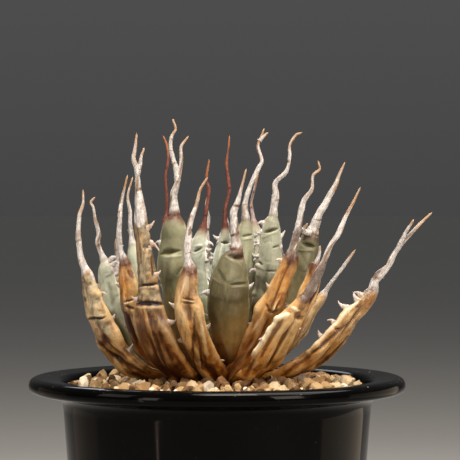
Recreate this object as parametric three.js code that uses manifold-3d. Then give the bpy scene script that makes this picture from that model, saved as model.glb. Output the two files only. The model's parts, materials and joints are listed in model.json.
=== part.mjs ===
// Potted eborispina Utah agave: a small rosette with long wavy end spines, its lowest leaves dried up,
// in a black nursery pot dressed with pumice. Millimetres, +Z up, the front is -Y.
// The origin is the middle of the pot's foot, on the ground.

import * as THREE from 'three';
import { mergeVertices } from 'three/addons/utils/BufferGeometryUtils.js';
import Module from 'manifold-3d';

const wasm = await Module();
wasm.setup();

// Driving dimensions of the pot
const potHeight = 100;
const rimRadius = 60;
const wallRadiusAtCove = 49;
const coveDrop = 10;
const footRadius = 42.2;
const recessHeight = 1.2;
const padRadius = 13;
const potWall = 1.6;
const floorThickness = 2.2;
const drainRadius = 4;
const drainCircle = 25;
const drainCount = 6;
const potSides = 36;

// Driving dimensions of what fills the pot; drops are measured down from the brim
const soilDrop = 6.5;
const dressingDrop = 2.6;
const moundRise = 1.6;
const crownRadius = 9.5;
const crownDepth = 18;
const crownRise = 17;
const rosetteX = 3;
const stoneCount = 84;
const stoneSize = 1.75;
const stoneReach = 17;
const stoneEdge = 1.6;
const gap = 0.3;
const mergeDistance = 0.06;

// A blade is a run of rings, and a dried crack draws it in to this share of its width
const shownRings = 8;
const hiddenRings = 6;
const crackPinch = 0.78;
const toothFootWidth = 1.36;
const toothKneeWidth = 0.8;
const toothRoot = 1.1;
const spineTipWidth = 0.62;

// Each kind of leaf: how far its outer and inner face stand out, as shares of its width, how deep the
// furrow is that drying has drawn into the outer face, and how its spine tapers (1 is evenly).
// FootRise and footWidth shape the foot of a leaf behind, above the brim and as a share of its width.
const kinds = {
  green: { outer: 0.36, inner: 0.1, furrow: 0, taper: 0.72, footRise: 6, footWidth: 0.64, colour: '#8f9376' },
  pale: { outer: 0.3, inner: 0.1, furrow: 0, taper: 0.72, footRise: 13, footWidth: 0.64, colour: '#a9af93' },
  dry: { outer: 0.34, inner: 0.02, furrow: 0.3, taper: 0.8, footRise: 1, footWidth: 0.86, colour: '#b98b52' },
};

// The leaves that the front shows. A blade is rows of [across, back, up, width], from its foot to the
// collar of its spine, and a spine is rows of [across, back, up]; up is measured from the brim.
// Facing is where the outer face looks, in degrees from +X. Cracks are heights above the brim.
// A tooth is [side, place along the blade, length, lean to the tip, lean to the inner face].
// Where two leaves meet, the one that comes first here keeps its shape.
const shownLeaves = {
  leaf_dry_front_left: {
    kind: 'dry',
    facing: -108,
    blade: [
      [-8, -13, 0.5, 10], [-15.8, -22, 8, 11], [-19.4, -27, 17.6, 10.4], [-20.7, -28, 24.4, 8.6],
      [-20.9, -28, 30, 6.4], [-21.8, -28, 39, 5], [-22.8, -27, 47.4, 4], [-23.7, -26, 54, 3.1],
    ],
    spineWidth: 3,
    spine: [[-24, -26, 58.5], [-24.2, -26, 62.2], [-24.6, -26, 65.9], [-25.4, -26, 68.4],
      [-24.9, -26, 72], [-24.5, -26, 75.6]],
    forks: [[[-24.3, -26, 63.6], [-23.4, -26, 66.9], [-23.1, -26, 69], [-22.3, -26, 71.5]]],
    teeth: [
      [1, 0.9, 2.6, 0.4, 0], [1, 0.84, 3, -0.5, 0], [1, 0.5, 3.6, -0.1, -0.2], [-1, 0.6, 1.6, 0.4, 0],
    ],
    cracks: [29.4, 24.2],
  },
  leaf_dry_front: {
    kind: 'dry',
    facing: -98,
    blade: [
      [0.3, -13, 0.8, 9], [-4.7, -24, 9, 8.6], [-7.7, -30, 17.8, 8.8], [-8.9, -31, 24.5, 8.2],
      [-8.9, -31, 29.7, 6.2], [-8.3, -30, 34.6, 4.3],
    ],
    spineWidth: 3,
    spine: [[-8.9, -30, 39], [-8.6, -29, 45.3], [-8, -28, 49.3], [-6.2, -27, 54.2], [-5, -27, 59],
      [-3.1, -27, 62.2]],
    teeth: [
      [-1, 0.55, 2.2, 0.2, 0], [-1, 0.78, 1.8, 0.5, 0], [1, 0.62, 1.8, 0.4, 0], [1, 0.32, 1.6, 0.5, 0],
    ],
  },
  leaf_dry_right: {
    kind: 'dry',
    facing: -68,
    blade: [
      [9, -15, 0.5, 9.5], [15.6, -26, 8.4, 9.8], [20.7, -31, 16.9, 8.8], [24.6, -32, 22.4, 6],
      [27.3, -32, 26.7, 3.2],
    ],
    spineWidth: 3,
    spine: [[29.8, -32, 31], [32.8, -32, 37.7], [34.6, -32, 42], [36.8, -32, 45.3], [39.3, -31, 50.8],
      [41.4, -31, 54.8], [43.4, -31, 59]],
    teeth: [[-1, 0.62, 1.6, 0.4, 0], [1, 0.5, 1.8, 0.4, 0.2], [1, 0.75, 1.6, 0.5, 0.2]],
  },
  leaf_dry_front_right: {
    kind: 'dry',
    facing: -72,
    blade: [
      [6, -12, 1, 9], [11.4, -20, 11, 8.6], [15.7, -24, 20.5, 8.8], [19, -25, 28.3, 6.6],
      [21.2, -25, 33.9, 5.4], [23, -25, 38.5, 4],
    ],
    spineWidth: 3.1,
    spine: [[23.6, -25, 42.2], [24.9, -25, 46.8], [25.5, -25, 49.3], [26.7, -25, 55.5], [29.2, -25, 59.2],
      [29.6, -25, 63.5], [31.6, -25, 65.3], [31.3, -25, 67.2]],
    teeth: [
      [-1, 0.94, 2.4, 0.3, 0], [-1, 0.78, 1.6, 0.3, 0], [1, 0.7, 1.6, 0.4, 0.1], [1, 0.45, 1.6, 0.4, 0.1],
    ],
  },
  leaf_green_front: {
    kind: 'green',
    facing: -88,
    blade: [
      [4.3, -9, 3, 9], [4.3, -18, 10, 9.6], [3.9, -23, 18, 11.4], [3.6, -25, 26.2, 13],
      [3.9, -25, 32, 11.6], [4.9, -24.5, 37, 8.4], [6, -24, 40.4, 4],
    ],
    spineWidth: 3.6,
    spine: [[5.8, -24, 44.3], [5.5, -24, 48.4], [5.2, -24, 52], [6.4, -24, 55], [7.9, -24, 60.7],
      [8.9, -24, 64.7]],
    teeth: [[-1, 0.72, 2.2, 0.2, 0], [-1, 0.58, 1.8, 0.3, 0], [1, 0.76, 1.8, 0.6, 0], [1, 0.5, 1.8, 0.5, 0]],
  },
  leaf_dry_far_left: {
    kind: 'dry',
    facing: -116,
    blade: [
      [-14, -8, 0.6, 10], [-26.4, -15, 4.6, 10.6], [-31.4, -19, 10, 9.6], [-34.1, -21, 15.4, 8.2],
      [-37, -22, 22.3, 6.4], [-38.5, -22, 27.5, 5.2], [-39.8, -22, 32.8, 3.8],
    ],
    spineWidth: 2.9,
    spine: [[-41.8, -22, 38], [-42.6, -22, 43.7], [-42.7, -22, 46.8], [-42.3, -22, 51.4], [-41.3, -22, 54.5],
      [-41.2, -22, 58.4]],
    teeth: [
      [1, 0.88, 1.8, 0.3, 0.4], [1, 0.74, 1.5, 0.4, 0.5], [1, 0.55, 1.6, 0.5, 0.5], [-1, 0.45, 1.5, 0.5, 0],
    ],
    cracks: [18.6],
  },
  leaf_dry_far_right: {
    kind: 'dry',
    facing: -52,
    blade: [
      [12.5, -6, 0.2, 9], [22, -9.5, 2.6, 9.6], [31.7, -11, 8, 9.4], [38.6, -10.5, 15, 8.6],
      [43.5, -9, 20.9, 6.6], [48.9, -8, 27, 3.8],
    ],
    spineWidth: 2.9,
    spine: [[49.9, -8, 30.8], [53.7, -8, 35], [55.2, -8, 37.8], [56.8, -8, 40.4], [59.7, -8, 43.8],
      [63.5, -8, 48], [67.3, -8, 51.6]],
    forks: [[[57.2, -8, 41], [59.4, -9, 45.8], [61.7, -10, 49.6]]],
    teeth: [
      [-1, 0.84, 4.2, -0.6, 1.4], [-1, 0.9, 2.4, 0.3, 1.4], [-1, 0.7, 2, 0.3, 1.2], [-1, 0.6, 2, 0.2, 1.2],
      [1, 0.7, 1.8, 0.4, 0.6],
    ],
  },
  leaf_dry_left: {
    kind: 'dry',
    facing: -112,
    blade: [
      [-12.5, -8, 2, 7.6], [-21.1, -13, 9.6, 7.8], [-24.8, -15.5, 17.5, 7], [-26.9, -16.5, 25, 6],
      [-27.8, -16.5, 31, 5.4], [-28.8, -16, 36.7, 3.2],
    ],
    spineWidth: 2.4,
    spine: [[-30, -16, 40], [-30.5, -16, 45.2], [-30.2, -16, 50.8], [-29.8, -15, 55.2], [-29.1, -15, 58.3],
      [-28, -15, 63]],
    teeth: [[1, 0.75, 1.6, 0.4, 0], [-1, 0.6, 1.6, 0.4, 0], [-1, 0.85, 1.4, 0.4, 0]],
  },
  leaf_green_front_left: {
    kind: 'green',
    facing: -104,
    blade: [
      [-5.4, -8, 4, 8.6], [-8.5, -12.5, 13.8, 9.4], [-11.4, -16, 23.4, 10], [-13, -17, 31.2, 9.8],
      [-13.6, -17.5, 39, 9.4], [-13.4, -17.5, 45.2, 8.2], [-13.1, -17, 49, 6.2], [-13.1, -17, 51, 3.6],
    ],
    spineWidth: 3.4,
    spine: [[-13.4, -17, 54.6], [-13.4, -17, 57.7], [-12.5, -17, 60.5], [-11.6, -17, 64.2], [-11, -17, 68.6],
      [-11, -17, 72.4], [-9.2, -17, 75.2]],
    forks: [[[-12.2, -17, 61.6], [-12.7, -17, 65.8], [-13.6, -17, 68.8], [-14.4, -17, 72.5],
      [-14, -17, 75.8], [-12.8, -17, 78], [-13.6, -17, 80.8]]],
    teeth: [[1, 0.74, 1.6, 0.4, 0], [1, 0.56, 1.6, 0.4, 0], [-1, 0.66, 1.5, 0.4, 0], [-1, 0.84, 1.4, 0.4, 0]],
  },
  leaf_dry_layered: {
    kind: 'dry',
    facing: -58,
    blade: [
      [14, -11, 2.6, 7], [21.4, -17, 12.4, 7.4], [26, -19.5, 21.9, 6.8], [28.8, -20, 29.7, 5.6],
      [30.6, -20, 36, 3.4],
    ],
    spineWidth: 1.8,
    spine: [[31.6, -20, 38.6], [32, -20, 41]],
    teeth: [[1, 0.55, 1.5, 0.3, 0], [1, 0.75, 1.5, 0.4, 0], [-1, 0.5, 1.4, 0.4, 0]],
  },
  leaf_green_left: {
    kind: 'green',
    facing: -122,
    blade: [
      [-14, -3.5, 3, 8.6], [-25, -5.5, 10.5, 8.8], [-30, -6.5, 17, 8.2], [-32.8, -7, 24, 7.6],
      [-34.2, -7, 30, 6.8], [-35, -7, 34.6, 5.2], [-35.6, -7, 36.8, 2.8],
    ],
    spineWidth: 2.3,
    spine: [[-37.7, -7, 42.6], [-37.3, -7, 45.1], [-38.4, -7, 49.9], [-39, -7, 53.7], [-39.8, -7, 55.3],
      [-39, -7, 56.4]],
    teeth: [
      [1, 0.95, 3, 0.6, 0.2], [1, 0.86, 1.8, 0.8, 0.1], [-1, 0.85, 1.8, 0.4, 0], [1, 0.6, 1.6, 0.4, 0.2],
    ],
  },
  leaf_green_right: {
    kind: 'green',
    facing: -76,
    blade: [
      [10.4, -4, 9, 8], [14.1, -8.5, 21.4, 8.6], [16, -11, 31, 8.6], [16.6, -11, 38.8, 7.8],
      [16.8, -10.5, 45, 6.6], [17.2, -10, 49, 5], [17.6, -10, 50.8, 3],
    ],
    spineWidth: 2.4,
    spine: [[17.9, -10, 54], [18.5, -10, 57.8], [18.2, -10, 60.6], [18.8, -10, 62], [21.8, -10, 65],
      [22.8, -10, 69.5], [22.9, -10, 73.3], [24.8, -10, 76.4], [26.1, -10, 77]],
    teeth: [[-1, 0.94, 2, 0.2, 0], [1, 0.72, 2.4, 0.2, 0], [1, 0.5, 1.6, 0.4, 0], [-1, 0.7, 1.5, 0.4, 0]],
  },
  leaf_green_far_right: {
    kind: 'green',
    facing: -64,
    blade: [
      [12, 0, 5, 8], [21, 2.6, 17.4, 9], [25.4, 3.6, 28, 9], [27.9, 4, 36.3, 8.2], [29.4, 4, 42.2, 6.4],
      [30.2, 4, 45, 4.4],
    ],
    spineWidth: 4,
    spine: [[31.2, 4, 47.6], [32.8, 4, 51.8], [34.4, 4, 54.4], [35.7, 4, 56.9], [37.9, 4, 61],
      [39, 4, 63.8], [40.7, 4, 67.6]],
    forks: [[[29.8, 2, 45.4], [27.4, 0.6, 46.2], [28.7, -1, 48.4]]],
    teeth: [[-1, 0.72, 1.8, 0.3, 0], [-1, 0.5, 1.5, 0.4, 0], [1, 0.66, 1.8, 0.3, 0]],
  },
  leaf_green_centre: {
    kind: 'green',
    facing: -80,
    blade: [
      [7.6, -6, 11, 7], [8.1, -9.5, 24, 8.6], [8.4, -10.5, 35, 8], [8.6, -10.3, 42, 6.2], [9, -10, 47.4, 4.4],
      [9.1, -10, 49.4, 2.8],
    ],
    spineWidth: 2.4,
    spine: [[8.8, -10, 54.6], [10.3, -10, 60], [12.9, -10, 65.7], [14, -10, 68.2], [12.9, -10, 72.9],
      [14.1, -10, 76.4], [14.6, -10, 77.8]],
    forks: [[[13.4, -10, 74.6], [14.6, -10, 76], [15.8, -10, 77]]],
    teeth: [[1, 0.84, 1.5, 0.4, 0], [-1, 0.8, 1.5, 0.4, 0]],
  },
  leaf_pale_centre_left: {
    kind: 'pale',
    facing: -100,
    blade: [
      [-2.2, -5, 10, 6.6], [-4.6, -7, 21, 7.4], [-5.9, -7.8, 31, 7], [-5.9, -8, 40, 5.4], [-4.5, -7, 46, 3],
    ],
    spineWidth: 1.9,
    spine: [[-3.4, -7, 52.4], [-2.6, -7, 59.4], [-3.4, -7, 62.6], [-2.6, -7, 68]],
    teeth: [[1, 0.86, 1.6, 0.1, 0], [-1, 0.7, 1.4, 0.4, 0]],
  },
  leaf_pale_centre: {
    kind: 'pale',
    facing: -92,
    blade: [
      [2.4, -3, 15, 5.6], [1.8, -4.4, 24.3, 6.8], [1.8, -4.6, 35.5, 6.2], [2.2, -4.2, 42, 4.6],
      [2.6, -4, 46.7, 2.6],
    ],
    spineWidth: 1.8,
    spine: [[2.6, -4, 53], [3.8, -4, 58.8], [3, -4, 67.4], [3.6, -4, 72.2], [3.9, -4, 75.7]],
    teeth: [[1, 0.8, 1.4, 0.4, 0], [-1, 0.74, 1.4, 0.4, 0]],
  },
  leaf_pale_centre_right: {
    kind: 'pale',
    facing: -60,
    blade: [
      [8.4, 1, 12, 5.6], [11.2, 3.4, 24, 7], [12.3, 4.4, 36, 6.4], [12.5, 4.4, 43.4, 4.8],
      [11.8, 4, 48.5, 2.6],
    ],
    spineWidth: 1.8,
    spine: [[10.9, 4, 54.7], [11.5, 4, 57.9], [13.1, 4, 64.4]],
    teeth: [[-1, 0.8, 1.4, 0.4, 0], [1, 0.7, 1.4, 0.4, 0]],
  },
  leaf_young_left: {
    kind: 'pale',
    facing: -150,
    blade: [
      [-5.2, 4, 9, 6.2], [-10.4, 6.8, 22, 7.4], [-14.4, 8, 34, 6.2], [-16, 8, 42, 4.6], [-16.6, 8, 48.2, 2.6],
    ],
    spineWidth: 1.7,
    spine: [[-16.3, 8, 56.3], [-16.6, 8, 63.5], [-15.8, 8, 69.3], [-16.3, 8, 73.9], [-17.2, 8, 76.2]],
    teeth: [[-1, 0.7, 1.4, 0.4, 0], [1, 0.8, 1.4, 0.4, 0]],
  },
  leaf_green_left_inner: {
    kind: 'green',
    facing: -132,
    blade: [
      [-8.5, 1, 6, 7.6], [-18.6, 4, 15.5, 8.4], [-23.4, 5.6, 25, 7.6], [-25.7, 6, 33, 6.2],
      [-26.8, 6, 38.4, 4.4], [-27.2, 6, 41.4, 2.6],
    ],
    spineWidth: 2,
    spine: [[-28, 6, 48.2], [-28, 6, 52.1], [-28.8, 6, 57.3], [-27.4, 6, 62.8]],
    teeth: [[1, 0.76, 1.5, 0.4, 0], [-1, 0.7, 1.5, 0.4, 0]],
  },
  leaf_dry_back_right: {
    kind: 'dry',
    facing: -30,
    blade: [
      [11.5, 6.5, 1.6, 7.4], [19.8, 11.4, 6.4, 7.6], [26.4, 15.4, 12.6, 6.6], [31, 17.6, 19.6, 5],
      [34.6, 18, 25, 2.8],
    ],
    spineWidth: 2,
    spine: [[37.1, 18, 28.8], [41, 18, 34], [44.8, 18, 39.3]],
    teeth: [[-1, 0.6, 1.5, 0.4, 0], [1, 0.5, 1.5, 0.4, 0], [1, 0.75, 1.5, 0.4, 0]],
  },
};

// The leaves behind, on the same spiral: heading in degrees from +X, how far the collar stands out from
// the rosette's middle and above the brim, the widest width, and the spine's length and outward lean
const hiddenLeaves = {
  leaf_dry_back_1: { kind: 'dry', heading: 60, reach: 36, rise: 27, width: 9, spine: 15, lean: -0.25 },
  leaf_dry_back_2: { kind: 'dry', heading: 88, reach: 38, rise: 26, width: 9.4, spine: 18, lean: 0.1 },
  leaf_dry_back_3: { kind: 'dry', heading: 120, reach: 37, rise: 28, width: 9, spine: 18, lean: 0 },
  leaf_dry_back_left: { kind: 'dry', heading: 158, reach: 38, rise: 29, width: 8.4, spine: 17, lean: 0 },
  leaf_green_back_1: { kind: 'green', heading: 36, reach: 24, rise: 34, width: 8.4, spine: 12, lean: -0.4 },
  leaf_green_back_2: { kind: 'green', heading: 72, reach: 26, rise: 36, width: 9.4, spine: 13, lean: 0 },
  leaf_green_back_3: { kind: 'green', heading: 105, reach: 26, rise: 36, width: 9.6, spine: 13, lean: 0 },
  leaf_green_back_4: { kind: 'green', heading: 138, reach: 26, rise: 36, width: 9, spine: 14, lean: -0.1 },
  leaf_pale_back_1: { kind: 'pale', heading: 62, reach: 12, rise: 41, width: 7, spine: 17, lean: 0 },
  leaf_pale_back_2: { kind: 'pale', heading: 122, reach: 12, rise: 41, width: 7, spine: 17, lean: 0 },
  leaf_bud: { kind: 'pale', heading: 90, reach: 2.5, rise: 44, width: 5.4, spine: 14, lean: 0 },
};

// Small vector and number helpers

const up = new THREE.Vector3(0, 0, 1);

function seeded(seed) {
  let state = seed;
  return () => {
    state = (state * 1664525 + 1013904223) % 4294967296;
    return state / 4294967296;
  };
}

function mix(a, b, share) {
  return a + (b - a) * share;
}

// Rows of numbers as a smooth run: gives the row at a share of the length along its first three numbers
function smoothRun(rows) {
  const places = [0];
  for (let i = 1; i < rows.length; i++) {
    const step = [0, 1, 2].map((k) => rows[i][k] - rows[i - 1][k]);
    places.push(places[i - 1] + Math.hypot(...step));
  }
  const slopes = rows.map((row, i) => {
    const before = Math.max(i - 1, 0);
    const after = Math.min(i + 1, rows.length - 1);
    return row.map((_, k) => (rows[after][k] - rows[before][k]) / (places[after] - places[before]));
  });
  const total = places[places.length - 1];
  return (share) => {
    const place = share * total;
    let i = 0;
    while (i < rows.length - 2 && place > places[i + 1]) i++;
    const span = places[i + 1] - places[i];
    const t = (place - places[i]) / span;
    const fromStart = 2 * t ** 3 - 3 * t ** 2 + 1;
    const startSlope = (t ** 3 - 2 * t ** 2 + t) * span;
    const endSlope = (t ** 3 - t ** 2) * span;
    return rows[i].map((value, k) => fromStart * value + startSlope * slopes[i][k]
      + (1 - fromStart) * rows[i + 1][k] + endSlope * slopes[i + 1][k]);
  };
}

// Solids

function toSolid(geometry) {
  const bare = geometry.index ? geometry.clone() : geometry;
  bare.deleteAttribute('normal');
  bare.deleteAttribute('uv');
  const merged = mergeVertices(bare, 1e-4);
  return new wasm.Manifold(new wasm.Mesh({
    numProp: 3,
    vertProperties: new Float32Array(merged.attributes.position.array),
    triVerts: new Uint32Array(merged.index.array),
  }));
}

// A closed skin over rings of corners, flat at its first ring and drawn to a point past its last
function skinRings(rings, point) {
  const sides = rings[0].length;
  const corners = rings.flat();
  const triangles = [];
  for (let r = 0; r < rings.length - 1; r++) {
    for (let s = 0; s < sides; s++) {
      const a = r * sides + s;
      const b = r * sides + (s + 1) % sides;
      triangles.push(a, b, b + sides, a, b + sides, a + sides);
    }
  }
  for (let s = 1; s < sides - 1; s++) triangles.push(0, s + 1, s);
  const lastRing = (rings.length - 1) * sides;
  corners.push(point);
  const tip = corners.length - 1;
  for (let s = 0; s < sides; s++) triangles.push(lastRing + s, lastRing + (s + 1) % sides, tip);
  return new wasm.Manifold(new wasm.Mesh({
    numProp: 3,
    vertProperties: new Float32Array(corners.flatMap((corner) => corner.toArray())),
    triVerts: new Uint32Array(triangles),
  }));
}

function largestBody(solid) {
  const bodies = solid.decompose();
  return bodies.reduce((best, body) => (body.volume() > best.volume() ? body : best));
}

function boxesMeet(one, other) {
  const a = one.boundingBox();
  const b = other.boundingBox();
  return [0, 1, 2].every((k) => a.min[k] < b.max[k] && b.min[k] < a.max[k]);
}

function meet(one, other) {
  return boxesMeet(one, other) && !one.intersect(other).isEmpty();
}

function lathe(profile, sides) {
  const geometry = new THREE.LatheGeometry(profile.map(([r, z]) => new THREE.Vector2(r, z)), sides);
  geometry.rotateX(Math.PI / 2);
  return toSolid(geometry);
}

// Leaves

// The leaf's own directions at a place: along it, across it and out of its outer face
function leafFrame(run, share, facing) {
  const step = 0.004;
  const before = run(Math.max(share - step, 0));
  const after = run(Math.min(share + step, 1));
  const along = new THREE.Vector3(...[0, 1, 2].map((k) => after[k] - before[k])).normalize();
  const angle = THREE.MathUtils.degToRad(facing);
  const sideways = new THREE.Vector3(-Math.sin(angle), Math.cos(angle), 0);
  const out = new THREE.Vector3().crossVectors(sideways, along).normalize();
  const across = new THREE.Vector3().crossVectors(along, out);
  return { along, across, out };
}

// A ring's corners as [across, out], from a blade's section to a round one
function section(kind, width, round) {
  const half = width / 2;
  const outer = mix(width * kind.outer, half, round);
  const inner = mix(width * kind.inner, half, round);
  const furrow = kind.furrow * (1 - round);
  const diagonal = Math.SQRT1_2;
  const side = half * mix(0.62, diagonal, round);
  const outerSide = outer * diagonal;
  const innerSide = -inner * diagonal;
  const outerMiddle = outer * (1 - furrow);
  const innerMiddle = -inner * mix(0.6, 1, round);
  return [
    [-half, 0], [-side, outerSide], [0, outerMiddle], [side, outerSide],
    [half, 0], [side, innerSide], [0, innerMiddle], [-side, innerSide],
  ];
}

function ringAt(centre, frame, corners, grow) {
  return corners.map(([across, out]) => {
    const reach = Math.hypot(across, out);
    const scale = (reach + grow) / reach;
    return centre.clone()
      .addScaledVector(frame.across, across * scale)
      .addScaledVector(frame.out, out * scale);
  });
}

// The foot of a blade runs on into the crown
function rootedRows(leaf) {
  const first = leaf.blade[0];
  const reach = Math.hypot(first[0] - rosetteX, first[1]);
  const inward = Math.min(7, reach * 0.45) / reach;
  const root = [rosetteX + (first[0] - rosetteX) * inward, first[1] * inward, first[2] - 1.5, first[3] * 0.9];
  return [root, ...leaf.blade];
}

function spineWidthAt(leaf, share) {
  return mix(leaf.spineWidth, spineTipWidth, share ** kinds[leaf.kind].taper);
}

// The places of a blade's rings, with three close ones at each dried crack
function bladeStations(leaf, run) {
  const count = leaf.hidden ? hiddenRings : shownRings;
  const cracks = (leaf.cracks ?? []).map((height) => shareAtHeight(run, height));
  const even = Array.from({ length: count }, (_, i) => i / (count - 1));
  const crackHalf = 0.016;
  const clear = even.filter((share) => cracks.every((crack) => Math.abs(crack - share) > crackHalf * 1.5));
  const stations = clear.map((share) => ({ share, pinch: 1 }));
  for (const crack of cracks) {
    stations.push({ share: crack - crackHalf, pinch: 1 }, { share: crack, pinch: crackPinch });
    stations.push({ share: crack + crackHalf, pinch: 1 });
  }
  return stations.sort((a, b) => a.share - b.share);
}

function shareAtHeight(run, height) {
  const steps = 200;
  let share = 0;
  while (share < 1 && run(share)[2] < height) share += 1 / steps;
  return share;
}

function buildLeafBody(leaf, grow) {
  const kind = kinds[leaf.kind];
  const bladeRun = smoothRun(rootedRows(leaf));
  const rings = bladeStations(leaf, bladeRun).map(({ share, pinch }) => {
    const [x, y, z, width] = bladeRun(share);
    const round = THREE.MathUtils.smoothstep(share, 0.86, 1);
    const frame = leafFrame(bladeRun, share, leaf.facing);
    return ringAt(new THREE.Vector3(x, y, z + potHeight), frame, section(kind, width * pinch, round), grow);
  });
  const collar = leaf.blade[leaf.blade.length - 1].slice(0, 3);
  const spineRows = [collar, ...leaf.spine];
  const spineRun = smoothRun(spineRows);
  const count = spineRows.length - 1;
  for (let i = 1; i <= count; i++) {
    const share = i / count;
    const [x, y, z] = spineRun(share);
    const frame = leafFrame(spineRun, share, leaf.facing);
    const round = section(kind, spineWidthAt(leaf, share), 1);
    rings.push(ringAt(new THREE.Vector3(x, y, z + potHeight), frame, round, grow));
  }
  const end = leafFrame(spineRun, 1, leaf.facing).along;
  const [tipX, tipY, tipZ] = spineRun(1);
  const tip = new THREE.Vector3(tipX, tipY, tipZ + potHeight).addScaledVector(end, 1 + grow);
  return skinRings(rings, tip);
}

// A thin round limb through points, for forks and teeth
function buildLimb(points, widths, sides, grow) {
  const rings = points.slice(0, -1).map((point, i) => {
    const along = points[i + 1].clone().sub(points[Math.max(i - 1, 0)]).normalize();
    const helper = Math.abs(along.z) > 0.9 ? new THREE.Vector3(0, 1, 0) : up;
    const across = new THREE.Vector3().crossVectors(helper, along).normalize();
    const out = new THREE.Vector3().crossVectors(along, across);
    const radius = widths[i] / 2 + grow;
    return Array.from({ length: sides }, (_, s) => {
      const angle = (s / sides) * Math.PI * 2;
      return point.clone()
        .addScaledVector(across, Math.cos(angle) * radius)
        .addScaledVector(out, Math.sin(angle) * radius);
    });
  });
  return skinRings(rings, points[points.length - 1]);
}

function buildForks(leaf, grow) {
  return (leaf.forks ?? []).map((fork) => {
    const points = fork.map(([x, y, z]) => new THREE.Vector3(x, y, z + potHeight));
    const widths = points.map((_, i) => mix(leaf.spineWidth * 0.55, spineTipWidth, i / (points.length - 1)));
    return buildLimb(points, widths, 5, grow);
  });
}

// A marginal tooth: rooted inside the margin, bent once
function buildTooth(leaf, [side, share, length, lean, rise], grow) {
  const run = smoothRun(rootedRows(leaf));
  const frame = leafFrame(run, share, leaf.facing);
  const [x, y, z, width] = run(share);
  const way = frame.across.clone().multiplyScalar(side)
    .addScaledVector(frame.along, lean)
    .addScaledVector(frame.out, -rise)
    .normalize();
  const root = new THREE.Vector3(x, y, z + potHeight);
  root.addScaledVector(frame.across, side * (width / 2 - toothRoot));
  const knee = root.clone().addScaledVector(way, toothRoot + length * 0.55);
  const tip = knee.clone().addScaledVector(way, length * 0.5).addScaledVector(frame.along, length * 0.25);
  return buildLimb([root, knee, tip], [toothFootWidth, toothKneeWidth], 3, grow);
}

function hiddenLeaf(order, plan) {
  const draw = seeded(41 + order * 7);
  const angle = THREE.MathUtils.degToRad(plan.heading);
  const foot = Math.min(12, plan.reach * 0.5);
  const { footRise, footWidth } = kinds[plan.kind];
  const widths = [footWidth, 0.94, 1, 0.86, 0.62, 0.34];
  const place = (reach, rise, side = 0) => [
    rosetteX + Math.cos(angle) * reach - Math.sin(angle) * side,
    Math.sin(angle) * reach + Math.cos(angle) * side,
    rise,
  ];
  const blade = widths.map((share, i) => {
    const t = i / (widths.length - 1);
    const reach = mix(foot, plan.reach, 1 - (1 - t) ** 1.7);
    const rise = mix(footRise, plan.rise, t ** 1.25);
    return [...place(reach, rise), plan.width * share];
  });
  const spine = [0.3, 0.55, 0.8, 1].map((t) => {
    const sway = (draw() - 0.5) * 2.4 * t;
    const outward = plan.reach + plan.lean * plan.spine * t + (draw() - 0.5) * 1.6;
    return place(outward, plan.rise + plan.spine * t, sway);
  });
  const teeth = [[1, 0.55], [-1, 0.6], [1, 0.78], [-1, 0.84]].map(([side, share]) => (
    [side, share + (draw() - 0.5) * 0.08, 1.5 + draw(), 0.4, 0]
  ));
  const spineWidth = Math.max(plan.width * 0.3, 1.7);
  return { kind: plan.kind, hidden: true, facing: plan.heading, blade, spine, spineWidth, teeth };
}

// Crown, pot, soil and dressing

function crownSolid(grow) {
  const top = potHeight + crownRise + grow;
  const bottom = potHeight - crownDepth - grow;
  const wide = crownRadius + grow;
  return lathe([
    [0, bottom], [wide * 0.8, bottom], [wide, bottom + 3], [wide, potHeight + 5],
    [wide * 0.72, potHeight + 11], [wide * 0.36, top - 1.4], [0, top],
  ], 20);
}

function potProfile() {
  const cove = potHeight - coveDrop;
  const outside = [
    [0, 0], [padRadius, 0], [padRadius + 0.8, recessHeight], [footRadius - 4.4, recessHeight],
    [footRadius - 3.6, 0], [footRadius - 0.8, 0], [footRadius, 0.8],
    [wallRadiusAtCove, cove], [wallRadiusAtCove + 0.5, cove + 2.4], [wallRadiusAtCove + 2, cove + 4],
    [rimRadius - 1.2, cove + 5.2], [rimRadius - 0.2, cove + 6], [rimRadius, cove + 7.6],
    [rimRadius - 0.6, cove + 9.2], [rimRadius - 2.4, potHeight],
  ];
  const inside = [
    [rimRadius - 9.6, potHeight - 0.7], [rimRadius - 10.8, potHeight - 1.6],
    [wallRadiusAtCove - potWall, cove], [footRadius - potWall, recessHeight + floorThickness],
    [0, recessHeight + floorThickness],
  ];
  return [...outside, ...inside];
}

function buildPot() {
  let pot = lathe(potProfile(), potSides);
  for (let i = 0; i < drainCount; i++) {
    const angle = (i / drainCount) * Math.PI * 2;
    const hole = new THREE.CylinderGeometry(drainRadius, drainRadius, 20, 12);
    hole.rotateX(Math.PI / 2);
    hole.translate(Math.cos(angle) * drainCircle, Math.sin(angle) * drainCircle, 0);
    pot = pot.subtract(toSolid(hole));
  }
  return pot;
}

// Inner radius of the pot at a height, less the gap that keeps the fill clear of it
function fillRadius(z) {
  const floorTop = recessHeight + floorThickness;
  const share = (z - floorTop) / (potHeight - coveDrop - floorTop);
  return mix(footRadius, wallRadiusAtCove, Math.min(share, 1)) - potWall - gap - 0.2;
}

function buildSoil() {
  const bottom = recessHeight + floorThickness + gap;
  const top = potHeight - soilDrop;
  const hole = crownRadius + gap;
  const holeBottom = potHeight - crownDepth - gap;
  return lathe([
    [0, bottom], [fillRadius(bottom), bottom], [fillRadius(top), top], [hole + 2, top + moundRise],
    [hole, top + moundRise], [hole, holeBottom], [0, holeBottom],
  ], 32);
}

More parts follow.
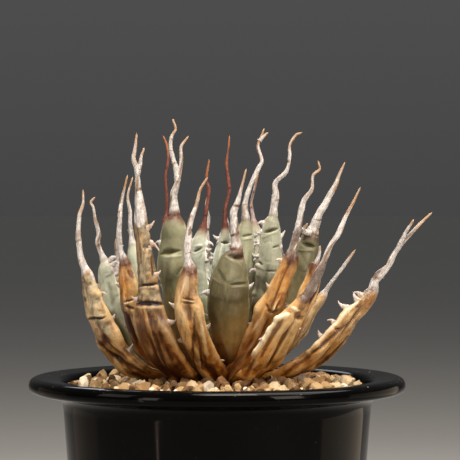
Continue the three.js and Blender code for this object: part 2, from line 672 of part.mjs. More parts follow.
// Pumice: a ring-shaped bed round the crown with broken stones fused to it, cut clear of the leaves
function buildDressing(leaves) {
  const draw = seeded(2024);
  const bottom = potHeight - soilDrop + gap;
  const top = potHeight - dressingDrop;
  const outer = fillRadius(potHeight);
  const hole = crownRadius + gap;
  let bed = lathe([
    [hole, bottom + moundRise], [hole + 2, bottom + moundRise], [outer, bottom], [outer, top - 1],
    [outer - 4, top], [hole + 4, top + moundRise], [hole, top + moundRise], [hole, bottom + moundRise],
  ], 36);
  const goldenAngle = Math.PI * (3 - Math.sqrt(5));
  const stones = [];
  for (let i = 0; i < stoneCount; i++) {
    const share = (i + 0.5) / stoneCount;
    const reach = Math.sqrt(mix(stoneReach ** 2, (outer - stoneEdge) ** 2, share));
    const angle = i * goldenAngle;
    const size = stoneSize * mix(0.8, 1.35, draw());
    const stone = new THREE.BoxGeometry(size * 1.5, size * 1.35, size * 1.4);
    stone.scale(mix(0.85, 1.25, draw()), mix(0.85, 1.1, draw()), mix(0.7, 0.95, draw()));
    stone.rotateX(draw() * 3);
    stone.rotateZ(draw() * 6);
    const lift = moundRise * (1 - (reach - hole) / (outer - hole));
    stone.translate(Math.cos(angle) * reach, Math.sin(angle) * reach, top + lift + size * 0.12);
    stones.push(toSolid(stone));
  }
  bed = wasm.Manifold.union([bed, ...stones]);
  for (const keepOut of leaves.flatMap((own) => [own.keepOut, ...own.toothKeepOuts])) {
    if (boxesMeet(bed, keepOut)) bed = bed.subtract(keepOut);
  }
  return largestBody(bed.simplify(mergeDistance));
}

// Assembly

function meshOf(name, solid, material) {
  const result = solid.getMesh();
  const geometry = new THREE.BufferGeometry();
  const count = result.vertProperties.length / result.numProp;
  const positions = new Float32Array(count * 3);
  for (let i = 0; i < count; i++) {
    for (let k = 0; k < 3; k++) positions[i * 3 + k] = result.vertProperties[i * result.numProp + k];
  }
  geometry.setAttribute('position', new THREE.BufferAttribute(positions, 3));
  geometry.setIndex(new THREE.BufferAttribute(new Uint32Array(result.triVerts), 1));
  const mesh = new THREE.Mesh(geometry, material);
  mesh.name = name;
  return mesh;
}

function buildLeaves() {
  const leaves = { ...shownLeaves };
  Object.entries(hiddenLeaves).forEach(([name, plan], order) => {
    leaves[name] = hiddenLeaf(order, plan);
  });
  const crownKeepOut = crownSolid(gap);
  const placed = [];
  for (const [name, leaf] of Object.entries(leaves)) {
    const keepOut = wasm.Manifold.union([buildLeafBody(leaf, gap), ...buildForks(leaf, gap)]);
    let body = wasm.Manifold.union([buildLeafBody(leaf, 0), ...buildForks(leaf, 0)]);
    body = body.subtract(crownKeepOut);
    for (const other of placed) {
      if (boxesMeet(body, other.keepOut)) body = body.subtract(other.keepOut);
    }
    placed.push({ name, leaf, keepOut, body: largestBody(body), toothKeepOuts: [] });
  }
  addTeeth(placed);
  return placed;
}

// A tooth gives way to every other leaf, and one that would meet another leaf's tooth is left out
function addTeeth(placed) {
  for (const own of placed) {
    for (const spec of own.leaf.teeth) {
      const tooth = buildTooth(own.leaf, spec, 0);
      const others = placed.filter((other) => other !== own);
      const blocked = others.some((other) => (
        [other.keepOut, ...other.toothKeepOuts].some((keepOut) => meet(tooth, keepOut))
      ));
      if (!blocked) {
        own.body = own.body.add(tooth);
        own.toothKeepOuts.push(buildTooth(own.leaf, spec, gap));
      }
    }
    own.body = largestBody(own.body.simplify(mergeDistance));
  }
}

// Finishes

function blackGloss() {
  return new THREE.MeshStandardMaterial({ color: '#17171a', roughness: 0.2, metalness: 0 });
}

function darkMix() {
  return new THREE.MeshStandardMaterial({ color: '#3a2c22', roughness: 0.95, metalness: 0 });
}

function creamPumice() {
  return new THREE.MeshStandardMaterial({ color: '#d9bf94', roughness: 0.9, metalness: 0 });
}

function brownBark() {
  return new THREE.MeshStandardMaterial({ color: '#6b4a2c', roughness: 0.9, metalness: 0 });
}

function leafSkin(kind) {
  return new THREE.MeshStandardMaterial({ color: kinds[kind].colour, roughness: 0.7, metalness: 0 });
}

const leaves = buildLeaves();
const plant = new THREE.Group();
plant.add(meshOf('pot', buildPot(), blackGloss()));
plant.add(meshOf('soil', buildSoil(), darkMix()));
plant.add(meshOf('dressing', buildDressing(leaves), creamPumice()));
plant.add(meshOf('crown', crownSolid(0), brownBark()));
for (const { name, leaf, body } of leaves) plant.add(meshOf(name, body, leafSkin(leaf.kind)));

export default plant;
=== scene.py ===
# Potted Utah agave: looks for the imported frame. Metres, +Z up, the front is -Y.
# The plant's tables are in millimetres, as in the frame's own source, and mm turns them into metres.
import json
import math
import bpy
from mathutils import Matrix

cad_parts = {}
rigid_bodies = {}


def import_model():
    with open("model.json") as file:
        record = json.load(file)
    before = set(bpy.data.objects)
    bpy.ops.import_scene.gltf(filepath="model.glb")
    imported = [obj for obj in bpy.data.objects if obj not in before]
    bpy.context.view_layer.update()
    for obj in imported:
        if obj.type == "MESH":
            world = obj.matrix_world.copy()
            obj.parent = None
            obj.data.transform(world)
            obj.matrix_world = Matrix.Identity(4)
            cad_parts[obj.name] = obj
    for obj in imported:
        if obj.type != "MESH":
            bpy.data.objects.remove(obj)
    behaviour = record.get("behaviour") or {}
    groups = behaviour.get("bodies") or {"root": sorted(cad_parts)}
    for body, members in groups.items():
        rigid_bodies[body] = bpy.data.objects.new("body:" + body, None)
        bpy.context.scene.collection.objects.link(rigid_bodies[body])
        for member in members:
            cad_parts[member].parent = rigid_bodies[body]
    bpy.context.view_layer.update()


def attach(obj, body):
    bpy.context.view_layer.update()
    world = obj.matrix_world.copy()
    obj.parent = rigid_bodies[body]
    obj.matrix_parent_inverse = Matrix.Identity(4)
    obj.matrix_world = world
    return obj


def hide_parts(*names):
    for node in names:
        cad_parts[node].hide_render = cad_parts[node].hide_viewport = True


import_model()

from types import SimpleNamespace

import bmesh
import bpy
import numpy as np
from mathutils import Vector

mm = 0.001
potHeight = 100
rosetteX = 3


# Small number helpers

def seeded(seed):  # draws from 0 to 1, the same each run
    state = seed
    while True:
        state = (state * 1664525 + 1013904223) % 4294967296
        yield state / 4294967296


def mix(a, b, share):
    return a + (b - a) * share


def smoothStep(value, low, high):
    share = np.clip((value - low) / (high - low), 0, 1)
    return share * share * (3 - 2 * share)


def unit(vectors):
    return vectors / np.maximum(np.linalg.norm(vectors, axis=-1, keepdims=True), 1e-9)


def cellValue(cell, seed):  # each cell of a grid hashed to a value from -1 to 1
    x, y, z = (cell[..., k].astype(np.int64) for k in range(3))
    mixed = (x * 374761393 + y * 668265263 + z * 1442695041 + seed * 974634777) & 0xFFFFFFFF
    mixed = ((mixed ^ (mixed >> 13)) * 1274126177) & 0xFFFFFFFF
    return ((mixed ^ (mixed >> 16)) & 0xFFFF) / 32767.5 - 1


def softNoise(points, seed=0):  # smooth, from -1 to 1, one lump for each unit of length
    base = np.floor(points)
    part = points - base
    part = part * part * (3 - 2 * part)
    total = np.zeros(points.shape[:-1])
    for corner in range(8):
        step = np.array([corner & 1, corner >> 1 & 1, corner >> 2])
        weight = np.prod(np.where(step, part, 1 - part), axis=-1)
        total += weight * cellValue(base + step, seed)
    return total


def smoothRun(rows):  # a smooth run through rows: its places in mm, and a function from place to row
    rows = np.array(rows, float)
    steps = np.linalg.norm(np.diff(rows[:, :3], axis=0), axis=1)
    places = np.concatenate([[0], np.cumsum(steps)])
    slopes = np.empty_like(rows)
    slopes[1:-1] = (rows[2:] - rows[:-2]) / (places[2:] - places[:-2])[:, None]
    slopes[0] = (rows[1] - rows[0]) / steps[0]
    slopes[-1] = (rows[-1] - rows[-2]) / steps[-1]

    def at(place):
        i = np.clip(np.searchsorted(places, place, side="right") - 1, 0, len(rows) - 2)
        span = steps[i][:, None]
        t = (place - places[i])[:, None] / span
        fromStart = 2 * t ** 3 - 3 * t ** 2 + 1
        startSlope = (t ** 3 - 2 * t ** 2 + t) * span
        endSlope = (t ** 3 - t ** 2) * span
        return (fromStart * rows[i] + startSlope * slopes[i]
                + (1 - fromStart) * rows[i + 1] + endSlope * slopes[i + 1])

    return places, at


# Node trees

def setInputs(tree, node, inputs):
    for key, value in inputs.items():
        if isinstance(value, bpy.types.NodeSocket):
            tree.links.new(value, node.inputs[key])
        else:
            node.inputs[key].default_value = value


def addNode(tree, kind, inputs=None, **settings):
    node = tree.nodes.new(kind)
    for key, value in settings.items():
        setattr(node, key, value)
    setInputs(tree, node, inputs or {})
    return node


def tint(code):  # a screen colour as the linear colour that shaders take
    parts = [int(code[i:i + 2], 16) / 255 for i in (1, 3, 5)]
    return [p / 12.92 if p <= 0.04045 else ((p + 0.055) / 1.055) ** 2.4 for p in parts] + [1]


def newMaterial(name):
    material = bpy.data.materials.new(name)
    material.use_nodes = True
    tree = material.node_tree
    tree.nodes.clear()
    shader = addNode(tree, "ShaderNodeBsdfPrincipled")
    output = addNode(tree, "ShaderNodeOutputMaterial")
    tree.links.new(shader.outputs["BSDF"], output.inputs["Surface"])
    return material, tree, shader


def fac(tree, name, output="Fac"):  # a value that the mesh carries for each point
    return addNode(tree, "ShaderNodeAttribute", attribute_name=name).outputs[output]


def maths(tree, operation, a, b=0.0, clamp=False):
    return addNode(tree, "ShaderNodeMath", {0: a, 1: b}, operation=operation, use_clamp=clamp).outputs[0]


def times(tree, a, b, clamp=False):
    return maths(tree, "MULTIPLY", a, b, clamp)


def plus(tree, a, b):
    return maths(tree, "ADD", a, b)


def spread(tree, value, low, high, toLow=0.0, toHigh=1.0):
    inputs = {"Value": value, "From Min": low, "From Max": high, "To Min": toLow, "To Max": toHigh}
    return addNode(tree, "ShaderNodeMapRange", inputs, interpolation_type="SMOOTHSTEP").outputs[0]


def blendColour(tree, share, a, b, way="MIX"):
    inputs = {0: share, 6: tint(a) if isinstance(a, str) else a, 7: tint(b) if isinstance(b, str) else b}
    return addNode(tree, "ShaderNodeMix", inputs, data_type="RGBA", blend_type=way).outputs[2]


def layered(tree, colour, look, layers):  # colours of a look laid over each other, each by its share
    for share, over in layers:
        colour = blendColour(tree, share, colour, look[over])
    return colour


def ramp(tree, value, stops):
    node = addNode(tree, "ShaderNodeValToRGB", {0: value})
    elements = node.color_ramp.elements
    while len(elements) < len(stops):
        elements.new(0.5)
    for element, (place, code) in zip(elements, stops):
        element.position = place
        element.color = tint(code)
    return node.outputs[0]


def noiseNode(tree, vector, scale, detail=4.0, roughness=0.55, distortion=0.0):
    inputs = {"Vector": vector, "Scale": scale, "Detail": detail, "Roughness": roughness,
              "Distortion": distortion}
    return addNode(tree, "ShaderNodeTexNoise", inputs).outputs[0]


def objectCoords(tree):
    return addNode(tree, "ShaderNodeTexCoord").outputs["Object"]


def stretched(tree, vector, scale, shift=(0, 0, 0)):
    inputs = {"Vector": vector, "Scale": scale, "Location": shift}
    return addNode(tree, "ShaderNodeMapping", inputs).outputs[0]


def upwards(tree, vector):  # how far up it is, or how far it looks up
    return addNode(tree, "ShaderNodeSeparateXYZ", {0: vector}).outputs["Z"]


def bumped(tree, height, strength, distance):
    inputs = {"Height": height, "Strength": strength, "Distance": distance}
    return addNode(tree, "ShaderNodeBump", inputs).outputs[0]


def randomValue(tree, kind, inputs):
    node = addNode(tree, "FunctionNodeRandomValue", inputs, data_type=kind)
    return node.outputs[1 if kind == "FLOAT" else 0]


def geometryTree(name, sockets):
    tree = bpy.data.node_groups.new(name, "GeometryNodeTree")
    tree.is_modifier = True
    for way in ("OUTPUT", "INPUT"):
        tree.interface.new_socket("Geometry", in_out=way, socket_type="NodeSocketGeometry")
    for label, (kind, value) in sockets.items():
        socket = tree.interface.new_socket(label, in_out="INPUT", socket_type="NodeSocket" + kind)
        if value is not None:
            socket.default_value = value
    return tree, addNode(tree, "NodeGroupInput").outputs, addNode(tree, "NodeGroupOutput").inputs


def paintResult(tree, geometry, material, result):  # the last step of each geometry tree
    coloured = addNode(tree, "GeometryNodeSetMaterial", {"Geometry": geometry, "Material": material})
    tree.links.new(coloured.outputs[0], result["Geometry"])


def runTree(source, tree, values):  # the tree's result on an object, as a plain mesh
    modifier = source.modifiers.new(tree.name, "NODES")
    modifier.node_group = tree
    for item in tree.interface.items_tree:
        if item.in_out == "INPUT" and item.name in values:
            modifier[item.identifier] = values[item.name]
    bpy.context.view_layer.update()
    mesh = shownMesh(source)
    source.modifiers.remove(modifier)
    return mesh


def shownMesh(source):  # an object with its modifiers, as a plain mesh
    depsgraph = bpy.context.evaluated_depsgraph_get()
    return bpy.data.meshes.new_from_object(source.evaluated_get(depsgraph))


# Meshes

def shellFaces(rings, sides):  # a tube of quads, closed by a fan at each end
    ring = np.arange(rings - 1)[:, None] * sides
    side = np.arange(sides)[None, :]
    following = (side + 1) % sides
    quads = np.stack([ring + side, ring + following, ring + sides + following, ring + sides + side], -1)
    faces = quads.reshape(-1, 4).tolist()
    start = rings * sides
    last = start - sides
    faces += [[start, (s + 1) % sides, s] for s in range(sides)]
    faces += [[last + s, last + (s + 1) % sides, start + 1] for s in range(sides)]
    return faces


def shellVolume(points, faces):
    total = 0.0
    for corners in (3, 4):
        own = np.array([f for f in faces if len(f) == corners])
        for k in range(corners - 2 if len(own) else 0):
            a, b, c = points[own[:, 0]], points[own[:, k + 1]], points[own[:, k + 2]]
            total += np.einsum("ij,ij->i", a, np.cross(b, c)).sum() / 6
    return total


def makeMesh(name, shells, material):  # a shell is points in mm, faces, and a value for each point by name
    points = np.concatenate([shell["points"] for shell in shells])
    faces = []
    start = 0
    for shell in shells:
        turned = shellVolume(shell["points"], shell["faces"]) < 0
        own = [face[::-1] for face in shell["faces"]] if turned else shell["faces"]
        faces += [[corner + start for corner in face] for face in own]
        start += len(shell["points"])
    mesh = bpy.data.meshes.new(name)
    mesh.from_pydata((points * mm).tolist(), [], faces)
    for label in shells[0]["values"]:
        values = np.concatenate([np.asarray(shell["values"][label], float) for shell in shells])
        vector = values.ndim == 2
        store = mesh.attributes.new(label, "FLOAT_VECTOR" if vector else "FLOAT", "POINT")
        store.data.foreach_set("vector" if vector else "value", values.astype(np.float32).ravel())
    mesh.polygons.foreach_set("use_smooth", np.ones(len(mesh.polygons), bool))
    mesh.materials.append(material)
    mesh.update()
    return mesh


def addObject(name, mesh):
    made = bpy.data.objects.new(name, mesh)
    bpy.context.scene.collection.objects.link(made)
    return made


def finishPiece(piece, node):
    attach(piece, "root")
    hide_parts(node)


# Leaves. A blade is rows of [across, back, up, width] from its foot to the collar of its spine. A spine is
# rows of [across, back, up]; up is measured from the brim. Facing is where the outer face looks, in degrees
# from +X. A tooth is [side, place along the blade, length, lean to the tip, lean to the inner face].
# Marks are placed one by one as seen from the front, by kind: (across, up, turn in degrees, length, width)
# and then, if they are not 1 and 0, strength and bend. Young, bloom, wither, horny and collar are the
# leaf's own tones, and shade darkens a whole leaf, partly as its own tone and partly as painted shade; all
# from 0 to 1.

shownLeaves = {
    "leaf_dry_front_left": dict(
        kind="dry", facing=-108, spineWidth=3, wither=0.9, shade=0.65, collar=0,
        blade=[[-8, -13, 0.5, 10], [-15.8, -22, 8, 11], [-19.4, -27, 17.6, 10.4], [-20.7, -28, 24.4, 8.6],
            [-20.9, -28, 30, 6.4], [-21.8, -28, 39, 5], [-22.8, -27, 47.4, 4], [-23.7, -26, 54, 3.1]],
        spine=[[-24, -26, 58.5], [-24.2, -26, 62.2], [-24.6, -26, 65.9], [-25.4, -26, 68.4],
            [-24.9, -26, 72], [-24.5, -26, 75.6]],
        forks=[[[-24.3, -26, 63.6], [-23.4, -26, 66.9], [-23.1, -26, 69], [-22.3, -26, 71.5]]],
        teeth=[[1, 0.82, 1.8, 0.4, 0.4], [1, 0.7, 1.6, 0.4, 0.2], [1, 0.9, 2.6, 0.4, 0],
            [1, 0.84, 3, -0.5, 0], [1, 0.5, 3.6, -0.1, -0.2], [-1, 0.6, 1.6, 0.4, 0]],
        marks=dict(
            chalk=[(-23, 53.6, 84, 10.4, 2.1), (-18.1, 38.2, 80, 4.9, 0.37, 0.5)],
            cream=[(-21.8, 46.2, 84, 10.4, 1.4), (-22.1, 34.5, 84, 11, 1.7), (-20.6, 27.2, 0, 8.6, 2.3),
             (-21.5, 21.6, -86, 3.7, 1.8, 0.5)],
            scorch=[(-22.7, 49.3, 80, 2.1, 0.61, 0.9), (-19, 37, 86, 6.7, 0.67, 0.8),
             (-18.1, 9.4, -66, 12.2, 1, 0.5), (-17.5, 2.6, -10, 10.4, 1.8, 0.7)],
            amber=[(-22.7, 43.5, 84, 4.3, 0.61, 0.45), (-21.8, 18.6, -82, 11, 2.4, 0.7),
             (-12, 9.4, -60, 18.4, 1.2, 0.8)],
            stain=[(-21.5, 48.1, 84, 3.7, 0.49, 0.7), (-20.3, 43.8, 84, 6.1, 0.55, 0.7),
             (-23.3, 37, 84, 4.9, 0.43, 0.6), (-20.3, 40.1, 20, 2.4, 0.49, 0.9),
             (-20, 27.8, 0, 3.7, 0.92, 0.3)],
            dent=[(-21.2, 41.6, 10, 2.4, 0.73), (-19, 37, 86, 7.3, 0.73, 1.1)],
            bulge=[(-21.8, 32.7, 30, 3.7, 0.92, 0.7)],
            lip=[(-21.5, 38.2, 80, 6.7, 0.31), (-17.8, 35.8, 88, 6.1, 0.28, 0.8),
             (-20.6, 29.3, 6, 6.4, 0.31), (-17.4, 27.5, -66, 3.7, 0.43),
             (-21.5, 23.1, -3, 7.7, 0.37, 1.2), (-24.4, 17.7, -82, 13.5, 0.31, 0.8)],
            slit=[(-18.4, 33.6, 60, 1.5, 0.37, 0.8), (-20.7, 30.1, 6, 6.1, 0.29),
             (-20.6, 24.4, -2, 8.3, 0.58)],
            crease=[(-18.4, 13.7, -72, 17.1, 0.49, 0.8), (-16, 12.1, -66, 15.3, 0.34, 0.9)],
            ridge=[(-13.8, 12.4, -60, 20.2, 0.55)],
            glow=[(-15.1, 16.1, -66, 10.4, 0.49, 0.7)],
            streak=[(-21.2, 11.5, -76, 13.5, 0.37, 0.5), (-12.6, 7.5, -50, 12.2, 0.31, 0.7)])),
    "leaf_dry_front": dict(
        kind="dry", facing=-98, spineWidth=3, wither=0.3, shade=0.25, collar=1,
        blade=[[0.3, -13, 0.8, 9], [-4.7, -24, 9, 8.6], [-7.7, -30, 17.8, 8.8], [-8.9, -31, 24.5, 8.2],
            [-8.9, -31, 29.7, 6.2], [-8.3, -30, 34.6, 4.3]],
        spine=[[-8.9, -30, 39], [-8.6, -29, 45.3], [-8, -28, 49.3], [-6.2, -27, 54.2], [-5, -27, 59],
            [-3.1, -27, 62.2]],
        teeth=[[-1, 0.55, 2.2, 0.2, 0], [-1, 0.78, 1.8, 0.5, 0], [1, 0.62, 1.8, 0.4, 0],
            [1, 0.32, 1.6, 0.5, 0]],
        marks=dict(
            scorch=[(-8.6, 34.6, -28, 4.9, 0.92), (-5.9, 30.3, -72, 5.5, 0.49, 0.8),
             (-3.4, 5.1, -40, 7.9, 1.2, 0.8), (-7.7, 6.4, -70, 7.3, 0.92, 0.6)],
            glow=[(-9.2, 30.6, 88, 5.5, 1.4, 0.8), (-10.2, 19.9, 84, 7.9, 0.73, 0.7),
             (-4.3, 17.7, -82, 10.4, 0.37, 0.6)],
            bulge=[(-8.9, 29.7, 88, 4.9, 1.2, 0.7)],
            crease=[(-8.6, 25.7, -10, 3.1, 0.24), (-8.6, 24.6, -8, 3.1, 0.24), (-7.1, 12.5, 87, 15.9, 0.4),
             (-5.3, 11.3, -82, 13.5, 0.28, 0.8)],
            lip=[(-8.6, 25.2, -9, 2.8, 0.18, 0.8), (-11.2, 25.4, 74, 9.2, 0.28, 0.8)],
            stain=[(-7.7, 26.6, -60, 2.4, 0.43, 0.6)],
            amber=[(-9.2, 11.6, 88, 15.3, 2.1, 0.8)],
            streak=[(-9.5, 13.7, 86, 12.2, 0.31), (-11.1, 15.6, 84, 11, 0.24)],
            ridge=[(-4, 13.7, -80, 17.1, 0.4, 0.9)],
            smoke=[(-8.3, 46.5, 70, 2.8, 0.67, 0.9)])),
    "leaf_dry_right": dict(
        kind="dry", facing=-68, spineWidth=3, bloom=0.3, collar=1,
        blade=[[9, -15, 0.5, 9.5], [15.6, -26, 8.4, 9.8], [20.7, -31, 16.9, 8.8], [24.6, -32, 22.4, 6],
            [27.3, -32, 26.7, 3.2]],
        spine=[[29.8, -32, 31], [32.8, -32, 37.7], [34.6, -32, 42], [36.8, -32, 45.3], [39.3, -31, 50.8],
            [41.4, -31, 54.8], [43.4, -31, 59]],
        teeth=[[-1, 0.62, 1.6, 0.4, 0], [1, 0.5, 1.8, 0.4, 0.2], [1, 0.75, 1.6, 0.5, 0.2]],
        marks=dict(
            chalk=[(12.4, 12.6, 57, 7.9, 0.37, 0.45)],
            scorch=[(27.7, 26.7, 62, 4.3, 1.4)],
            ridge=[(13.7, 12.9, 57, 9.1, 0.73, 1.6), (16.7, 17.8, 50, 5.5, 0.67, 1.5),
             (19.7, 20.3, 24, 4.3, 0.73, 1.5), (24, 22.7, -24, 2.7, 0.55, 0.7),
             (12.1, 5.9, 66, 7.9, 0.43, 0.9), (20.1, 12, 62, 12.2, 0.43, 0.8)],
            glow=[(14.6, 14.5, 57, 14, 0.79), (19.7, 20.3, 20, 4.9, 0.91, 0.9),
             (24, 22.6, -24, 2.7, 0.55, 0.9), (13.7, 9.6, 60, 12.2, 0.91, 0.6),
             (8.8, 5.3, 44, 7.3, 0.61, 0.6), (6.9, 4.7, 45, 6.1, 0.55, 0.8)],
            slit=[(25.2, 20.1, -16, 1.5, 0.34, 0.45)],
            dent=[(25.2, 20.3, -16, 3, 0.91, 0.8)],
            stain=[(21.9, 17.8, 30, 3.7, 0.91, 0.6), (24.3, 14.8, 60, 6.1, 0.61, 0.5)],
            crease=[(16.7, 13.8, 60, 14, 0.52), (10.3, 5, 66, 6.1, 0.37), (18.2, 9.6, 62, 12.2, 0.37, 0.8)],
            streak=[(13.7, 9.3, 60, 9.1, 0.37), (22.5, 11.7, 62, 12.2, 0.34)],
            lip=[(10.9, 6.5, 66, 6.7, 0.27, 0.7)],
            amber=[(14.9, 7.1, 60, 15.2, 3, 0.9), (7.3, 4.4, 42, 10.4, 2.4)],
            smoke=[(29.8, 31.3, 58, 13.4, 1.8)])),
    "leaf_dry_front_right": dict(
        kind="dry", facing=-72, spineWidth=3.1, shade=0.3, collar=1,
        blade=[[6, -12, 1, 9], [11.4, -20, 11, 8.6], [15.7, -24, 20.5, 8.8], [19, -25, 28.3, 6.6],
            [21.2, -25, 33.9, 5.4], [23, -25, 38.5, 4]],
        spine=[[23.6, -25, 42.2], [24.9, -25, 46.8], [25.5, -25, 49.3], [26.7, -25, 55.5],
            [29.2, -25, 59.2], [29.6, -25, 63.5], [31.6, -25, 65.3], [31.3, -25, 67.2]],
        teeth=[[-1, 0.94, 2.4, 0.3, 0], [-1, 0.78, 1.6, 0.3, 0], [1, 0.7, 1.6, 0.4, 0.1],
            [1, 0.45, 1.6, 0.4, 0.1]],
        marks=dict(
            scorch=[(23.4, 38.8, 66, 6.2, 1.4), (2.1, 2.3, 30, 4.3, 1.2, 0.7)],
            stain=[(24.3, 39.4, 70, 4.3, 0.62, 0.8), (16.6, 25.2, 30, 2.2, 0.43, 0.8),
             (21.2, 26.4, 80, 4.9, 0.62, 0.6), (19.4, 30.4, 66, 6.2, 0.43, 0.6)],
            amber=[(20.9, 30.7, 72, 13.6, 2.5), (8.9, 7.9, 46, 17.3, 2.5, 0.9)],
            glow=[(22.7, 33.8, 80, 6.2, 0.49, 0.6), (18.1, 27.6, 60, 4.9, 0.74, 0.5),
             (15.7, 15.9, 58, 12.3, 0.55, 0.6), (10.1, 9.7, 48, 13.6, 1.2, 0.7)],
            lip=[(23.7, 28.9, 86, 11.7, 0.28, 0.9), (17.5, 23, 60, 1.5, 0.4),
             (13.2, 19.6, 62, 12.3, 0.28, 0.8)],
            crease=[(17.2, 21.6, 4, 2.8, 0.37, 1, 0.19), (15.8, 23, -66, 2.5, 0.31),
             (18.7, 23.9, 66, 2.5, 0.28, 0.8)],
            ridge=[(14.1, 17.1, 60, 18.5, 0.46, 0.9)],
            streak=[(18.4, 17.7, 62, 10.5, 0.31), (12.3, 11.3, 52, 12.3, 0.31)],
            smoke=[(23.7, 43.1, 72, 8.6, 1.2, 0.75), (24.6, 40, 66, 3.1, 0.92, 0.9)])),
    "leaf_green_front": dict(
        kind="green", facing=-88, spineWidth=3.6, wither=1, shade=0.75, horny=0.1, collar=1,
        blade=[[4.3, -9, 3, 9], [4.3, -18, 10, 9.6], [3.9, -23, 18, 11.4], [3.6, -25, 26.2, 13],
            [3.9, -25, 32, 11.6], [4.9, -24.5, 37, 8.4], [6, -24, 40.4, 4]],
        spine=[[5.8, -24, 44.3], [5.5, -24, 48.4], [5.2, -24, 52], [6.4, -24, 55], [7.9, -24, 60.7],
            [8.9, -24, 64.7]],
        teeth=[[-1, 0.72, 2.2, 0.2, 0], [-1, 0.58, 1.8, 0.3, 0], [1, 0.76, 1.8, 0.6, 0],
            [1, 0.5, 1.8, 0.5, 0]],
        marks=dict(
            glow=[(5.2, 40.9, -8, 4.6, 0.92, 0.9), (8.2, 34.5, 82, 8, 0.62, 0.7),
             (-1.3, 32.6, 62, 6.8, 0.49, 0.8)],
            crease=[(5.9, 38.7, -6, 4.6, 0.62, 1.5), (1.6, 32.6, -58, 4.3, 0.37, 0.7),
             (6.4, 30.2, 4, 4, 0.31)],
            dent=[(6.7, 38.2, -8, 2.8, 0.8, 0.9)],
            lip=[(4.2, 37.7, -32, 3.7, 0.31, 0.9), (7, 36.3, -58, 3.7, 0.31, 0.6),
             (0.2, 31.1, -32, 4, 0.34, 0.9), (7, 29.3, 2, 4.3, 0.25, 0.8),
             (-1.3, 28, 80, 9.2, 0.31, 0.7)],
            bulge=[(4.2, 34.2, 80, 5.5, 2.2, 0.6), (3.6, 26.4, 0, 8, 1.8, 0.4)],
            stain=[(4.2, 25.5, 0, 7.4, 2.5, 0.35), (-0.4, 22.1, 80, 15.4, 1.5, 0.5),
             (7.9, 21.5, 84, 13.5, 1.2, 0.5)],
            streak=[(2.7, 18.4, 80, 12.3, 0.74, 0.5), (5.2, 11.3, 84, 7.4, 0.37, 0.8)],
            amber=[(3.6, 12.2, 86, 11.1, 4.9, 0.22)],
            smoke=[(7.3, 51.8, 80, 4.9, 0.68, 0.9), (6.1, 45.9, 80, 3.7, 0.49, 0.6)])),
    "leaf_dry_far_left": dict(
        kind="dry", facing=-116, spineWidth=2.9, wither=0.75, shade=0.3, collar=0.2,
        blade=[[-14, -8, 0.6, 10], [-26.4, -15, 4.6, 10.6], [-31.4, -19, 10, 9.6], [-34.1, -21, 15.4, 8.2],
            [-37, -22, 22.3, 6.4], [-38.5, -22, 27.5, 5.2], [-39.8, -22, 32.8, 3.8]],
        spine=[[-41.8, -22, 38], [-42.6, -22, 43.7], [-42.7, -22, 46.8], [-42.3, -22, 51.4],
            [-41.3, -22, 54.5], [-41.2, -22, 58.4]],
        teeth=[[1, 0.88, 1.8, 0.3, 0.4], [1, 0.74, 1.5, 0.4, 0.5], [1, 0.55, 1.6, 0.5, 0.5],
            [-1, 0.45, 1.5, 0.5, 0]],
        marks=dict(
            chalk=[(-38.5, 33.1, -70, 4.3, 0.43, 0.7)],
            amber=[(-40, 33.7, 0, 3.7, 1.1, 0.5), (-29.2, 9.8, -48, 8.1, 1.4)],
            cream=[(-38.2, 25.7, -76, 15.5, 2.2, 0.9), (-34.7, 17, -60, 5, 1.9, 0.8)],
            stain=[(-41.2, 30.6, 0, 0.9, 0.37), (-38.8, 30.3, 0, 0.9, 0.31), (-40.3, 25.4, -70, 1.9, 0.46),
             (-36.3, 22.2, -70, 1.9, 0.37, 0.6), (-33.5, 12, -55, 4.3, 0.77, 0.7)],
            slit=[(-36.9, 19.5, 4, 4.6, 0.31)],
            lip=[(-36.6, 20.4, 2, 4.3, 0.4), (-36.6, 8.9, -64, 9.3, 0.28, 0.7)],
            bulge=[(-38.2, 23.2, -75, 5.6, 1.2, 0.8)],
            scorch=[(-35.7, 13.2, -65, 6.2, 1.2, 0.8)],
            glow=[(-29.5, 10.1, -48, 4.3, 0.77, 0.8)],
            crease=[(-31.3, 7, -42, 12.4, 0.46), (-27.9, 4.9, -32, 12.4, 0.46),
             (-34.1, 8.9, -58, 7.4, 0.37, 0.8)],
            ridge=[(-27.6, 7.3, -42, 13.6, 0.46, 0.7)])),
    "leaf_dry_far_right": dict(
        kind="dry", facing=-52, spineWidth=2.9, bloom=0.1, shade=0.25, horny=0.5, collar=0.3,
        blade=[[12.5, -6, 0.2, 9], [22, -9.5, 2.6, 9.6], [31.7, -11, 8, 9.4], [38.6, -10.5, 15, 8.6],
            [43.5, -9, 20.9, 6.6], [48.9, -8, 27, 3.8]],
        spine=[[49.9, -8, 30.8], [53.7, -8, 35], [55.2, -8, 37.8], [56.8, -8, 40.4], [59.7, -8, 43.8],
            [63.5, -8, 48], [67.3, -8, 51.6]],
        forks=[[[57.2, -8, 41], [59.4, -9, 45.8], [61.7, -10, 49.6]]],
        teeth=[[-1, 0.93, 2.6, 0.2, 1.2], [-1, 0.84, 4.2, -0.6, 1.4], [-1, 0.9, 2.4, 0.3, 1.4],
            [-1, 0.7, 2, 0.3, 1.2], [-1, 0.6, 2, 0.2, 1.2], [1, 0.7, 1.8, 0.4, 0.6]],
        marks=dict(
            chalk=[(43.2, 26.4, 42, 9.5, 0.57, 0.9), (35.6, 18.5, 45, 4.4, 0.38, 0.7)],
            stain=[(40.6, 10, 50, 18.9, 1.3, 0.6), (46.6, 24.5, 42, 1.9, 0.38, 0.9),
             (43.8, 22.6, 42, 1.3, 0.32, 0.8)],
            cream=[(45.1, 26.1, 42, 9.5, 1.6)],
            glow=[(42.2, 24.2, 42, 9.5, 0.76), (37.2, 19.5, 42, 7.6, 0.69, 0.8),
